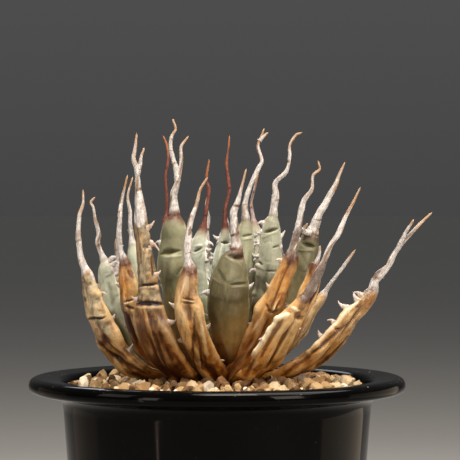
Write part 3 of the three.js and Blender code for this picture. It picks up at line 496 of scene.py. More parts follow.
             (35.9, 16, 45, 22.1, 0.57, 0.9)],
            amber=[(47.3, 23.9, 40, 3.8, 0.69), (28, 6.8, 30, 13.9, 1.9, 0.4)],
            scorch=[(44.4, 23.3, 40, 3.2, 0.5, 0.7), (31.2, 3.7, 34, 15.8, 0.82, 0.7)],
            ridge=[(35.9, 16, 45, 20.8, 0.57), (40.3, 15, 50, 13.9, 0.38, 0.6)],
            slit=[(37.5, 15.7, 14, 1.3, 0.32, 0.5)],
            crease=[(34.3, 11.9, 40, 15.8, 0.44), (41.6, 17.6, 56, 10.7, 0.41), (36.9, 8.4, 44, 18.9, 0.35),
             (28.3, 10, 36, 3.8, 0.32, 0.8)],
            lip=[(40.3, 10.9, 50, 18.9, 0.28, 0.8), (25.2, 5.9, 24, 9.5, 0.28, 0.7)],
            streak=[(29.9, 8.7, 34, 12.6, 0.32)],
            smoke=[(47.6, 27.1, 50, 4.4, 0.95, 0.6), (50.4, 32.8, 55, 4.4, 0.95, 0.8)])),
    "leaf_dry_left": dict(
        kind="dry", facing=-112, spineWidth=2.4, wither=0.35, collar=1,
        blade=[[-12.5, -8, 2, 7.6], [-21.1, -13, 9.6, 7.8], [-24.8, -15.5, 17.5, 7], [-26.9, -16.5, 25, 6],
            [-27.8, -16.5, 31, 5.4], [-28.8, -16, 36.7, 3.2]],
        spine=[[-30, -16, 40], [-30.5, -16, 45.2], [-30.2, -16, 50.8], [-29.8, -15, 55.2],
            [-29.1, -15, 58.3], [-28, -15, 63]],
        teeth=[[1, 0.75, 1.6, 0.4, 0], [-1, 0.6, 1.6, 0.4, 0], [-1, 0.85, 1.4, 0.4, 0]],
        marks=dict(
            scorch=[(-29.1, 36.4, -14, 3.7, 1), (-26, 32.7, -58, 4.4, 1, 0.8),
             (-26.9, 17.9, -78, 14.4, 1.9, 0.85)],
            amber=[(-28.8, 29.2, -82, 12.5, 1.9, 0.9)],
            glow=[(-29.1, 33, -80, 3.7, 0.69, 0.6)],
            crease=[(-26.9, 24.8, 16, 2.8, 0.28), (-26.6, 22.6, -20, 2.8, 0.28),
             (-26, 15.4, -72, 10.6, 0.37)],
            lip=[(-27.2, 24.1, 14, 2.5, 0.25)],
            ridge=[(-28.2, 23.9, -80, 8.1, 0.37, 0.6)])),
    "leaf_green_front_left": dict(
        kind="green", facing=-104, spineWidth=3.4, wither=0.3, shade=0.35, horny=0.1, collar=1,
        blade=[[-5.4, -8, 4, 8.6], [-8.5, -12.5, 13.8, 9.4], [-11.4, -16, 23.4, 10], [-13, -17, 31.2, 9.8],
            [-13.6, -17.5, 39, 9.4], [-13.4, -17.5, 45.2, 8.2], [-13.1, -17, 49, 6.2],
            [-13.1, -17, 51, 3.6]],
        spine=[[-13.4, -17, 54.6], [-13.4, -17, 57.7], [-12.5, -17, 60.5], [-11.6, -17, 64.2],
            [-11, -17, 68.6], [-11, -17, 72.4], [-9.2, -17, 75.2]],
        forks=[[[-12.2, -17, 61.6], [-12.7, -17, 65.8], [-13.6, -17, 68.8], [-14.4, -17, 72.5],
            [-14, -17, 75.8], [-12.8, -17, 78], [-13.6, -17, 80.8]]],
        teeth=[[1, 0.74, 1.6, 0.4, 0], [1, 0.56, 1.6, 0.4, 0], [-1, 0.66, 1.5, 0.4, 0],
            [-1, 0.84, 1.4, 0.4, 0]],
        marks=dict(
            crease=[(-14.4, 39.7, 10, 5.3, 0.53, 1.4), (-11.6, 34, 60, 2.5, 0.25, 0.7)],
            lip=[(-13.1, 38.5, 6, 4.7, 0.4), (-16.4, 33.7, 86, 11.2, 0.28, 0.6)],
            dent=[(-15, 40.2, 10, 3.1, 0.75, 0.8)],
            stain=[(-14.4, 44.6, 4, 3.7, 1.2, 0.4), (-13.4, 28, 84, 13.7, 1.9, 0.6)],
            bulge=[(-13.8, 34.9, 80, 6.2, 1.6, 0.5)],
            glow=[(-15.6, 36.8, 84, 11.2, 0.56, 0.7)],
            smoke=[(-8.5, 57.4, 80, 7.5, 0.4, 0.8), (-10.3, 51.4, 30, 3.1, 0.68, 0.7)])),
    "leaf_dry_layered": dict(
        kind="dry", facing=-58, spineWidth=1.8, collar=1,
        blade=[[14, -11, 2.6, 7], [21.4, -17, 12.4, 7.4], [26, -19.5, 21.9, 6.8], [28.8, -20, 29.7, 5.6],
            [30.6, -20, 36, 3.4]],
        spine=[[31.6, -20, 38.6], [32, -20, 41]],
        teeth=[[1, 0.55, 1.5, 0.3, 0], [1, 0.75, 1.5, 0.4, 0], [-1, 0.5, 1.4, 0.4, 0]],
        marks=dict(
            slit=[(29.1, 25, 64, 17.4, 0.25, 0.7), (27.2, 20.6, 64, 13.6, 0.22, 0.7)],
            ridge=[(28.3, 23.1, 64, 14.9, 0.31)],
            glow=[(30, 24.1, 64, 13.6, 0.28, 0.9), (26.5, 21.3, 64, 9.3, 0.28, 0.7)],
            scorch=[(29.1, 36.8, 62, 9.3, 1.6)],
            amber=[(28.8, 25, 64, 15.5, 1.6, 0.9)])),
    "leaf_green_left": dict(
        kind="green", facing=-122, spineWidth=2.3, bloom=1, horny=0.5, collar=0.3,
        blade=[[-14, -3.5, 3, 8.6], [-25, -5.5, 10.5, 8.8], [-30, -6.5, 17, 8.2], [-32.8, -7, 24, 7.6],
            [-34.2, -7, 30, 6.8], [-35, -7, 34.6, 5.2], [-35.6, -7, 36.8, 2.8]],
        spine=[[-37.7, -7, 42.6], [-37.3, -7, 45.1], [-38.4, -7, 49.9], [-39, -7, 53.7], [-39.8, -7, 55.3],
            [-39, -7, 56.4]],
        teeth=[[1, 0.97, 3.6, 0.9, 0.3], [1, 0.9, 2.2, 0.5, 0.2], [1, 0.83, 1.4, -0.3, 0.3],
            [1, 0.95, 3, 0.6, 0.2], [1, 0.86, 1.8, 0.8, 0.1], [-1, 0.85, 1.8, 0.4, 0],
            [1, 0.6, 1.6, 0.4, 0.2]],
        marks=dict(
            chalk=[(-33, 34.6, -60, 5.1, 0.63, 0.9)],
            stain=[(-34.6, 32.4, 12, 1.9, 0.54, 0.6), (-32, 16.2, -65, 13.9, 2.2, 1.1),
             (-30.8, 13, -62, 14.6, 2.8)],
            lip=[(-34.6, 32.4, 12, 1.1, 0.25, 0.7)],
            glow=[(-35.2, 27, -72, 10.8, 1.3, 0.5)],
            cream=[(-36.8, 28.3, -70, 5.1, 0.63, 0.8)],
            dent=[(-33, 24.5, -78, 9.5, 1.1, 0.4)])),
    "leaf_green_right": dict(
        kind="green", facing=-76, spineWidth=2.4, bloom=0.9, shade=0.4, horny=0.8, collar=0.2,
        blade=[[10.4, -4, 9, 8], [14.1, -8.5, 21.4, 8.6], [16, -11, 31, 8.6], [16.6, -11, 38.8, 7.8],
            [16.8, -10.5, 45, 6.6], [17.2, -10, 49, 5], [17.6, -10, 50.8, 3]],
        spine=[[17.9, -10, 54], [18.5, -10, 57.8], [18.2, -10, 60.6], [18.8, -10, 62], [21.8, -10, 65],
            [22.8, -10, 69.5], [22.9, -10, 73.3], [24.8, -10, 76.4], [26.1, -10, 77]],
        teeth=[[-1, 0.62, 3, 0.5, -0.2], [-1, 0.72, 2, 0.4, 0.2], [1, 0.86, 2.4, 0.8, 0.2],
            [-1, 0.94, 2, 0.2, 0], [1, 0.72, 2.4, 0.2, 0], [1, 0.5, 1.6, 0.4, 0], [-1, 0.7, 1.5, 0.4, 0]],
        marks=dict(
            chalk=[(13.2, 43.5, 76, 12.6, 0.35, 0.6), (20.1, 41.7, -86, 10.7, 0.32, 0.6)],
            crease=[(17.1, 46.4, 14, 3.8, 0.47, 1.5), (13.2, 36.3, -34, 1.9, 0.25),
             (17.3, 33.8, 0, 3.2, 0.25, 0.6), (18.5, 41.3, 20, 1.9, 0.25, 0.7)],
            lip=[(16.3, 45.1, 20, 3.8, 0.32, 0.9), (14.1, 41.7, 68, 5.7, 0.28, 0.7),
             (13.5, 35, -32, 2.8, 0.32, 0.9)],
            glow=[(15.4, 48, 60, 3.2, 0.63, 0.7)],
            bulge=[(16, 39.8, 84, 5, 1.6, 0.5)],
            dent=[(15.4, 30.9, 84, 8.2, 0.95, 0.4)])),
    "leaf_green_far_right": dict(
        kind="green", facing=-64, spineWidth=4, wither=0.3, shade=0.75, collar=0.8,
        blade=[[12, 0, 5, 8], [21, 2.6, 17.4, 9], [25.4, 3.6, 28, 9], [27.9, 4, 36.3, 8.2],
            [29.4, 4, 42.2, 6.4], [30.2, 4, 45, 4.4]],
        spine=[[31.2, 4, 47.6], [32.8, 4, 51.8], [34.4, 4, 54.4], [35.7, 4, 56.9], [37.9, 4, 61],
            [39, 4, 63.8], [40.7, 4, 67.6]],
        forks=[[[29.8, 2, 45.4], [27.4, 0.6, 46.2], [28.7, -1, 48.4]]],
        teeth=[[1, 0.7, 2.4, 0.4, 0.2], [1, 0.9, 2, 0.7, 0.4], [-1, 0.93, 2.4, 0.9, 0.3],
            [-1, 0.72, 1.8, 0.3, 0], [-1, 0.5, 1.5, 0.4, 0], [1, 0.66, 1.8, 0.3, 0]],
        marks=dict(
            crease=[(29.2, 41.6, -14, 3.5, 0.58, 1.5)],
            lip=[(28.3, 40, -4, 4.8, 0.32, 0.9)],
            glow=[(27.3, 42.4, 50, 3.2, 0.77, 0.8), (30.5, 37.6, 84, 7.7, 0.45, 0.7)],
            bulge=[(28.3, 36.3, 80, 5.2, 1.6, 0.5)],
            stain=[(26.7, 28.8, 76, 9.7, 1.6, 0.4)],
            smoke=[(30.5, 44.7, -20, 4.5, 0.8, 0.9)])),
    "leaf_green_centre": dict(
        kind="green", facing=-80, spineWidth=2.4, bloom=0.3, shade=0.2, horny=1, collar=0.4,
        blade=[[7.6, -6, 11, 7], [8.1, -9.5, 24, 8.6], [8.4, -10.5, 35, 8], [8.6, -10.3, 42, 6.2],
            [9, -10, 47.4, 4.4], [9.1, -10, 49.4, 2.8]],
        spine=[[8.8, -10, 54.6], [10.3, -10, 60], [12.9, -10, 65.7], [14, -10, 68.2], [12.9, -10, 72.9],
            [14.1, -10, 76.4], [14.6, -10, 77.8]],
        forks=[[[13.4, -10, 74.6], [14.6, -10, 76], [15.8, -10, 77]]],
        teeth=[[1, 0.84, 1.5, 0.4, 0], [-1, 0.8, 1.5, 0.4, 0]],
        marks=dict(
            crease=[(9.4, 44.8, 10, 2.8, 0.38, 0.8)],
            lip=[(9.4, 43.7, 8, 2.8, 0.28)],
            stain=[(10, 36.6, 84, 7.6, 0.63, 0.6)])),
    "leaf_pale_centre_left": dict(
        kind="pale", facing=-100, spineWidth=1.9, young=1, bloom=0.4, horny=1, collar=0.6,
        blade=[[-2.2, -5, 10, 6.6], [-4.6, -7, 21, 7.4], [-5.9, -7.8, 31, 7], [-5.9, -8, 40, 5.4],
            [-4.5, -7, 46, 3]],
        spine=[[-3.4, -7, 52.4], [-2.6, -7, 59.4], [-3.4, -7, 62.6], [-2.6, -7, 68]],
        teeth=[[1, 0.9, 2.6, 0.5, 0.2], [-1, 0.9, 2, 0.6, 0.2], [1, 0.86, 1.6, 0.1, 0],
            [-1, 0.7, 1.4, 0.4, 0]],
        marks=dict(
            stain=[(-8.9, 44.8, 0, 1.6, 0.63, 0.8), (-5.1, 38.4, 60, 2.5, 0.51, 0.7)],
            lip=[(-5.8, 41.6, 8, 2.8, 0.32)],
            crease=[(-6.1, 40.3, 30, 2.5, 0.38)])),
    "leaf_pale_centre": dict(
        kind="pale", facing=-92, spineWidth=1.8, young=1, horny=1, collar=0.6,
        blade=[[2.4, -3, 15, 5.6], [1.8, -4.4, 24.3, 6.8], [1.8, -4.6, 35.5, 6.2], [2.2, -4.2, 42, 4.6],
            [2.6, -4, 46.7, 2.6]],
        spine=[[2.6, -4, 53], [3.8, -4, 58.8], [3, -4, 67.4], [3.6, -4, 72.2], [3.9, -4, 75.7]],
        teeth=[[1, 0.8, 1.4, 0.4, 0], [-1, 0.74, 1.4, 0.4, 0]],
        marks=dict(
            crease=[(2.5, 42.5, -5, 2.2, 0.38)],
            lip=[(1.2, 40.3, 82, 7, 0.32), (3.1, 36.5, 86, 6.4, 0.25)],
            streak=[(2.2, 38.7, 84, 7.6, 0.25)])),
    "leaf_pale_centre_right": dict(
        kind="pale", facing=-60, spineWidth=1.8, young=0.5, bloom=0.3, horny=1,
        blade=[[8.4, 1, 12, 5.6], [11.2, 3.4, 24, 7], [12.3, 4.4, 36, 6.4], [12.5, 4.4, 43.4, 4.8],
            [11.8, 4, 48.5, 2.6]],
        spine=[[10.9, 4, 54.7], [11.5, 4, 57.9], [13.1, 4, 64.4]],
        teeth=[[-1, 0.8, 1.4, 0.4, 0], [1, 0.7, 1.4, 0.4, 0]]),
    "leaf_young_left": dict(
        kind="pale", facing=-150, spineWidth=1.7, young=1, horny=0.6, collar=1,
        blade=[[-5.2, 4, 9, 6.2], [-10.4, 6.8, 22, 7.4], [-14.4, 8, 34, 6.2], [-16, 8, 42, 4.6],
            [-16.6, 8, 48.2, 2.6]],
        spine=[[-16.3, 8, 56.3], [-16.6, 8, 63.5], [-15.8, 8, 69.3], [-16.3, 8, 73.9], [-17.2, 8, 76.2]],
        teeth=[[-1, 0.7, 1.4, 0.4, 0], [1, 0.8, 1.4, 0.4, 0]]),
    "leaf_green_left_inner": dict(
        kind="green", facing=-132, spineWidth=2, bloom=1, horny=0.8, collar=0.2,
        blade=[[-8.5, 1, 6, 7.6], [-18.6, 4, 15.5, 8.4], [-23.4, 5.6, 25, 7.6], [-25.7, 6, 33, 6.2],
            [-26.8, 6, 38.4, 4.4], [-27.2, 6, 41.4, 2.6]],
        spine=[[-28, 6, 48.2], [-28, 6, 52.1], [-28.8, 6, 57.3], [-27.4, 6, 62.8]],
        teeth=[[1, 0.76, 1.5, 0.4, 0], [-1, 0.7, 1.5, 0.4, 0]]),
    "leaf_dry_back_right": dict(
        kind="dry", facing=-30, spineWidth=2, bloom=0.8, collar=0,
        blade=[[11.5, 6.5, 1.6, 7.4], [19.8, 11.4, 6.4, 7.6], [26.4, 15.4, 12.6, 6.6], [31, 17.6, 19.6, 5],
            [34.6, 18, 25, 2.8]],
        spine=[[37.1, 18, 28.8], [41, 18, 34], [44.8, 18, 39.3]],
        teeth=[[-1, 0.6, 1.5, 0.4, 0], [1, 0.5, 1.5, 0.4, 0], [1, 0.75, 1.5, 0.4, 0]],
        marks=dict(
            cream=[(29.8, 10.4, 45, 9.8, 1.6)])),
}

# Leaves of the back half, which grow by rule: which way, how far out and up, and how the spine leans
hiddenLeaves = {
    "leaf_dry_back_1": dict(kind="dry", heading=60, reach=36, rise=27, width=9, spine=15, lean=-0.25),
    "leaf_dry_back_2": dict(kind="dry", heading=88, reach=38, rise=26, width=9.4, spine=18, lean=0.1),
    "leaf_dry_back_3": dict(kind="dry", heading=120, reach=37, rise=28, width=9, spine=18, lean=0),
    "leaf_dry_back_left": dict(kind="dry", heading=158, reach=38, rise=29, width=8.4, spine=17, lean=0),
    "leaf_green_back_1": dict(kind="green", heading=36, reach=24, rise=34, width=8.4, spine=12, lean=-0.4),
    "leaf_green_back_2": dict(kind="green", heading=72, reach=26, rise=36, width=9.4, spine=13, lean=0),
    "leaf_green_back_3": dict(kind="green", heading=105, reach=26, rise=36, width=9.6, spine=13, lean=0),
    "leaf_green_back_4": dict(kind="green", heading=138, reach=26, rise=36, width=9, spine=14, lean=-0.1),
    "leaf_pale_back_1": dict(kind="pale", heading=62, reach=12, rise=41, width=7, spine=17, lean=0),
    "leaf_pale_back_2": dict(kind="pale", heading=122, reach=12, rise=41, width=7, spine=17, lean=0),
    "leaf_bud": dict(kind="pale", heading=90, reach=2.5, rise=44, width=5.4, spine=14, lean=0),
}


leafKinds = {  # folds: form, size across, size along and height, in mm
    "green": dict(outer=0.36, inner=0.1, furrow=0.0, footRise=6, footWidth=0.64, taper=0.72, slant=0.6,
                  folds=[("soft", 6.0, 6.0, 0.42), ("crease", 9.0, 7.0, 0.16), ("soft", 2.2, 5.0, 0.12),
                         ("soft", 0.9, 1.2, 0.04)]),
    "pale": dict(outer=0.3, inner=0.1, furrow=0.0, footRise=13, footWidth=0.64, taper=0.72, slant=0.6,
                 folds=[("soft", 4.0, 4.5, 0.45), ("crease", 7.0, 6.0, 0.2), ("soft", 1.8, 3.4, 0.16),
                        ("soft", 0.8, 1.1, 0.06)]),
    "dry": dict(outer=0.34, inner=0.02, furrow=0.3, footRise=1, footWidth=0.86, taper=0.8, slant=0.05,
                folds=[("crease", 6.0, 30.0, 0.85), ("ridge", 5.0, 22.0, 0.4), ("soft", 2.8, 4.8, 0.55),
                       ("soft", 1.3, 2.4, 0.13), ("soft", 0.6, 1.2, 0.04)]),
}
# The mark tones paint light and shade. Slits, creases and dents darken as painted shade, partly with their
# own dark tissue. Lips, ridges and glows lighten as painted highlight. Stains darken both as real stains
# and as painted shadow.
markKinds = {  # depth in mm, tone from -1 dark to 1 pale, and a patch of colour if it has one
    "slit": (-1.1, -1.5, None), "crease": (-0.65, -0.45, None), "dent": (-0.8, -0.25, None),
    "ridge": (0.5, 0.3, None), "bulge": (0.6, 0.0, None), "lip": (0.2, 0.5, None),
    "stain": (0.0, -0.65, None), "streak": (-0.1, -0.45, None), "glow": (0.0, 0.5, None),
    "cream": (0.0, 0.0, "cream"), "amber": (0.0, 0.0, "amber"), "scorch": (0.0, 0.0, "scorch"),
    "smoke": (0.0, 0.0, "smoke"), "chalk": (0.1, 0.0, "chalk"),
}
patchNames = ("cream", "amber", "scorch", "smoke", "chalk")
leafTones = dict(young=0.0, bloom=0.0, wither=0.0, shade=0.0, horny=0.25, collar=0.6)
leafMesh = dict(shown=dict(bladeRings=190, spineRings=84, sides=48),
                hidden=dict(bladeRings=84, spineRings=44, sides=30), spineTipWidth=0.62, roundFrom=0.86)
leafForm = dict(  # mm, shares of the width, a power for the margin and a twist in radians a mm
    rootSink=1.5, rootWidth=0.9, collarWobble=0.13, bladeWobble=0.05, marginPower=1.38, furrowWidth=0.42,
    innerShare=0.8, spineTwist=0.14, flutes=0.13, hollow=0.34, swell=0.1, rim=0.16, knob=0.5, lump=0.75,
    ringHeight=0.07, ringGap=(4, 11), fineRelief=2.4, broadRelief=0.9)
leafSeeds = dict(hidden=(41, 7), rings=(900, 13), teeth=(300, 17))
hiddenForm = dict(widths=(0.94, 1, 0.86, 0.62, 0.34), spinePlaces=(0.3, 0.55, 0.8, 1), sway=2.4,
                  scatter=1.6, teeth=((1, 0.55), (-1, 0.6), (1, 0.78), (-1, 0.84)))
limbs = dict(forkRings=40, forkSides=16, forkWidth=0.55, toothRings=12, toothSides=12, toothRoot=1.1,
             toothTip=0.36, hooks=(-0.7, 0.4, 0.4), knobs=14, lumps=0.22)


def leafDraw(use, order):
    first, step = leafSeeds[use]
    return seeded(first + order * step)


def rootedRows(leaf):  # a blade's foot runs on into the crown
    x, y, z, width = leaf["blade"][0]
    reach = math.hypot(x - rosetteX, y)
    inward = min(7, reach * 0.45) / reach
    root = [rosetteX + (x - rosetteX) * inward, y * inward, z - leafForm["rootSink"]]
    return [root + [width * leafForm["rootWidth"]]] + leaf["blade"]


def hiddenLeaf(order, plan):  # a leaf of the back half, grown by rule
    draw = leafDraw("hidden", order)
    angle = math.radians(plan["heading"])
    foot = min(12, plan["reach"] * 0.5)
    kind = leafKinds[plan["kind"]]

    def place(reach, rise, side=0.0):
        return [rosetteX + math.cos(angle) * reach - math.sin(angle) * side,
                math.sin(angle) * reach + math.cos(angle) * side, rise]

    blade = []
    for i, share in enumerate((kind["footWidth"],) + hiddenForm["widths"]):
        t = i / len(hiddenForm["widths"])
        reach = mix(foot, plan["reach"], 1 - (1 - t) ** 1.7)
        rise = mix(kind["footRise"], plan["rise"], t ** 1.25)
        blade.append(place(reach, rise) + [plan["width"] * share])
    spine = []
    for t in hiddenForm["spinePlaces"]:
        sway = (next(draw) - 0.5) * hiddenForm["sway"] * t
        outward = plan["reach"] + plan["lean"] * plan["spine"] * t
        outward += (next(draw) - 0.5) * hiddenForm["scatter"]
        spine.append(place(outward, plan["rise"] + plan["spine"] * t, sway))
    teeth = []
    for side, share in hiddenForm["teeth"]:
        teeth.append([side, share + (next(draw) - 0.5) * 0.08, 1.5 + next(draw), 0.4, 0])
    return dict(kind=plan["kind"], facing=plan["heading"], blade=blade, spine=spine, teeth=teeth,
                spineWidth=max(plan["width"] * 0.3, 1.7), hidden=True)


def leafLine(leaf):  # one smooth line from the foot through the collar to the spine's tip
    blade = rootedRows(leaf)
    spine = [list(point) + [0.0] for point in leaf["spine"]]
    places, at = smoothRun(blade + spine)
    collar = places[len(blade) - 1]
    end = places[-1]
    taper = leafKinds[leaf["kind"]]["taper"]

    def rows(place):
        row = at(place)
        share = np.clip((place - collar) / (end - collar), 0, 1)
        spineWidth = mix(leaf["spineWidth"], leafMesh["spineTipWidth"], share ** taper)
        bladeWidth = at(np.minimum(place, collar))[:, 3]
        narrowing = mix(bladeWidth, spineWidth, smoothStep(share, 0, 0.12))
        row[:, 3] = np.where(place > collar, narrowing, bladeWidth)
        row[:, 2] += potHeight
        return row

    return rows, collar, end


def leafFrame(rows, place, facing):  # the ways along, across and out at places of the line
    step = 0.35
    along = unit(rows(place + step)[:, :3] - rows(place - step)[:, :3])
    angle = math.radians(facing)
    sideways = np.array([-math.sin(angle), math.cos(angle), 0.0])
    out = unit(np.cross(sideways, along))
    return along, np.cross(along, out), out


def foldValue(form, noise):  # noise from -1 to 1 as soft lumps, sharp creases or sharp ridges
    if form == "crease":
        return 0.35 - np.exp(-np.abs(noise) / 0.16)
    if form == "ridge":
        return np.exp(-np.abs(noise) / 0.2) - 0.35
    return noise


def applyMarks(marks, points, facing):  # how deep, how pale and how patched each point is
    shape = points.shape[:-1]
    depth, tone = np.zeros(shape), np.zeros(shape)
    patches = {name: np.zeros(shape) for name in patchNames}
    for kind, own in marks.items():
        deep, shade, patch = markKinds[kind]
        ragged = (0.5 if patch else 0.14) * softNoise(points / 1.5, 77)
        for x, z, turn, length, width, *more in own:
            strength, bend = list(more) + [1.0, 0.0][len(more):]
            dx, dz = points[..., 0] - x, points[..., 2] - potHeight - z
            c, s = math.cos(math.radians(turn)), math.sin(math.radians(turn))
            run = dx * c + dz * s
            off = dz * c - dx * s + ragged - bend * run ** 2
            taper = np.clip(1 - (run / (0.62 * length)) ** 2, 0, 1)
            weight = np.exp(-(off / (width * (taper ** 0.5 + 0.05))) ** 2) * strength * taper ** 0.4
            weight *= smoothStep(facing, -0.1, 0.2)
            depth += weight * deep
            tone += weight * shade
            if patch:
                patches[patch] = np.maximum(patches[patch], weight)
    return depth, tone, patches


def blurred(grid, along, around):  # a mean over rings and sides, taken twice
    for _ in range(2):
        total = grid * 0
        for k in range(-around, around + 1):
            total += np.roll(grid, k, axis=1)
        grid = total / (2 * around + 1)
        padded = np.pad(grid, ((along, along), (0, 0)), mode="edge")
        total = grid * 0
        for k in range(2 * along + 1):
            total += padded[k:k + len(grid)]
        grid = total / (2 * along + 1)
    return grid


def leafOutline(leaf, order):  # the bare form, as rings of points from the foot to the spine's tip
    kind = leafKinds[leaf["kind"]]
    counts = leafMesh["hidden" if leaf.get("hidden") else "shown"]
    rows, collar, end = leafLine(leaf)
    place = np.concatenate([np.linspace(0, collar, counts["bladeRings"], endpoint=False),
                            np.linspace(collar, end, counts["spineRings"])])
    row = rows(place)
    along, across, out = leafFrame(rows, np.minimum(place, end - 0.4), leaf["facing"])
    share = place / collar
    wander = np.stack([place / 5, np.full_like(place, order * 3.7), place * 0], -1)
    collarWobble = leafForm["collarWobble"] * softNoise(wander * 2.2, 5) * smoothStep(share, 0.9, 1.1)
    width = row[:, 3] * (1 + collarWobble + leafForm["bladeWobble"] * softNoise(wander, 6))
    half = (width / 2)[:, None]
    rounding = smoothStep(share, leafMesh["roundFrom"], 1)[:, None]
    angle = (np.arange(counts["sides"]) * 2 * math.pi / counts["sides"])[None, :]
    c, q = np.cos(angle), np.sin(angle)
    x = half * np.sign(c) * np.abs(c) ** mix(leafForm["marginPower"], 1, rounding)
    outer = mix(width * kind["outer"], width / 2, rounding[:, 0])[:, None]
    inner = mix(width * kind["inner"], width / 2, rounding[:, 0])[:, None]
    innerShare = mix(leafForm["innerShare"], 1, rounding)
    furrow = kind["furrow"] * (1 - rounding) * np.exp(-(c / leafForm["furrowWidth"]) ** 2)
    y = np.where(q >= 0, outer * q * (1 - furrow), inner * q * innerShare)
    centre = row[:, None, :3]
    points = centre + x[..., None] * across[:, None] + y[..., None] * out[:, None]
    ds = np.gradient(points, axis=0)
    dq = np.roll(points, -1, axis=1) - np.roll(points, 1, axis=1)
    normals = unit(np.cross(dq, ds))
    normals *= np.sign((normals * (points - centre)).sum(-1).mean())
    tip = rows(np.array([end]))[0, :3] + along[-1] * 0.9
    perimeter = x + np.sign(q + 1e-6) * half * 0.4 * (1 - np.abs(c))
    places = np.broadcast_to(place[:, None], x.shape)
    grain = np.stack([perimeter + 40 * (q < 0), places, np.full_like(x, order * 17.0)], -1)
    narrow = np.clip(width / 7, 0.12, 1)[:, None] * (1 - 0.75 * smoothStep(share, 0.97, 1.08))[:, None]
    spineShare = np.clip((place - collar) / (end - collar), 0, 1)[:, None]
    return SimpleNamespace(
        collar=collar, end=end, places=places, share=share[:, None], spineShare=spineShare, angle=angle,
        c=c, q=q, x=x, y=y, half=half, rounding=rounding, narrow=narrow, points=points, normals=normals,
        tip=tip, grain=grain)


def foldRelief(body, kind, order):  # folds are noise in the grain, which runs along the leaf
    turn = kind["slant"]
    slant = np.array([[math.cos(turn), -math.sin(turn), 0], [math.sin(turn), math.cos(turn), 0], [0, 0, 1]])
    relief = np.zeros_like(body.x)
    for number, (form, sizeAcross, sizeAlong, height) in enumerate(kind["folds"]):
        size = np.array([sizeAcross, sizeAlong, 1])
        noise = softNoise(body.grain @ slant / size + order, order * 9 + number)
        relief += foldValue(form, noise) * height
    return relief * body.narrow


def addSpineForm(relief, body, order):  # flutes, hollows and swellings; gives how hollow each point is
    onSpine = smoothStep(body.share, 1.0, 1.1)
    twist = body.angle + body.places * leafForm["spineTwist"] + order
    broken = smoothStep(softNoise(body.grain / np.array([40, 4.0, 1]), 12), -0.5, 0.3)
    hollow = np.exp(-((1 - np.cos(twist)) / 0.2)) * broken
    swell = softNoise(np.stack([body.x / 2.2, body.places / 4.5, body.y / 2.2 + order], -1), 9)
    flutes = leafForm["flutes"] * np.cos(2 * twist)
    relief += onSpine * body.half * (flutes - leafForm["hollow"] * hollow + leafForm["swell"] * swell)
    return hollow * onSpine


def addRim(relief, body, order, horny):  # knobs of horn along both margins
    rim = smoothStep(np.abs(body.c), 0.84, 0.97) * (1 - body.rounding)
    around = np.sign(body.c) * 9 + 0 * body.places
    knobs = softNoise(np.stack([around, body.places / 1.5, body.q * 1.5 + order + 0 * body.places], -1), 14)
    relief += rim * horny * (leafForm["rim"] + leafForm["knob"] * np.clip(knobs, 0, 1))


def addRings(relief, tone, body, order):  # rings round the spine at uneven gaps
    draw = leafDraw("rings", order)
    place = body.collar + 2 + next(draw) * 5
    while place < body.end - 2:
        spreadOut = 0.18 + next(draw) * 0.3
        lopsided = 0.5 + 0.5 * np.cos(body.angle + next(draw) * 6.3)
        near = np.exp(-((body.places - place - 0.3 * body.x) / spreadOut) ** 2) * lopsided
        tone += near * (0.2 + next(draw) * 0.8)
        relief += near * leafForm["ringHeight"] * body.half * (1 if next(draw) > 0.4 else -1)
        place += leafForm["ringGap"][0] + next(draw) * leafForm["ringGap"][1]


def withEnds(values):  # rings of values in one row, then the middles of the first and the last ring
    flat = values.reshape(-1, *values.shape[2:])
    return np.concatenate([flat, values[0].mean(0)[None], values[-1].mean(0)[None]])


def leafShell(leaf, order):  # blade and spine as one closed shell
    body = leafOutline(leaf, order)
    relief = foldRelief(body, leafKinds[leaf["kind"]], order)
    # The spine's hollows also darken its colour, partly as the spine's own brown and partly as painted
    # shade.
    ringAndHollowTone = 0.5 * addSpineForm(relief, body, order)
    addRim(relief, body, order, leaf.get("horny", leafTones["horny"]))
    addRings(relief, ringAndHollowTone, body, order)

    depth, tone, patches = applyMarks(leaf.get("marks", {}), body.points, -body.normals[..., 1])
    lumps = softNoise(body.points / 2.4, 51) + 0.45 * softNoise(body.points / 1.1, 52)
    relief += patches["cream"] * (leafForm["lump"] * lumps * body.narrow - leafForm["lump"] * relief)
    height = relief + depth
    points = withEnds(body.points + body.normals * height[..., None])
    points[-1] = body.tip

    # The relief is stored to paint the skin: lighter on ridges as painted highlight, darker in hollows as
    # painted shade.
    cavity = height - blurred(height, 3, 2)
    broad = height - blurred(height, 10, 5)
    flat = 0 * body.x
    run = np.where(body.share <= 1, body.share, 1 + body.spineShare) + flat
    horn = smoothStep(body.share + 0.02 * softNoise(body.grain / 1.6, 31), 0.985, 1.03) + flat
    shown = np.clip(cavity * leafForm["fineRelief"] + broad * leafForm["broadRelief"], -1, 1)
    values = dict(run=run, side=body.c + flat, horn=horn, ringAndHollowTone=ringAndHollowTone, tone=np.clip(tone, -1.3, 1.2),
                  relief=shown, **patches, grain=body.grain)
    values.update({name: flat + leaf.get(name, usual) for name, usual in leafTones.items()})
    values = {label: withEnds(value) for label, value in values.items()}
    return dict(points=points, faces=shellFaces(*body.x.shape), values=values)


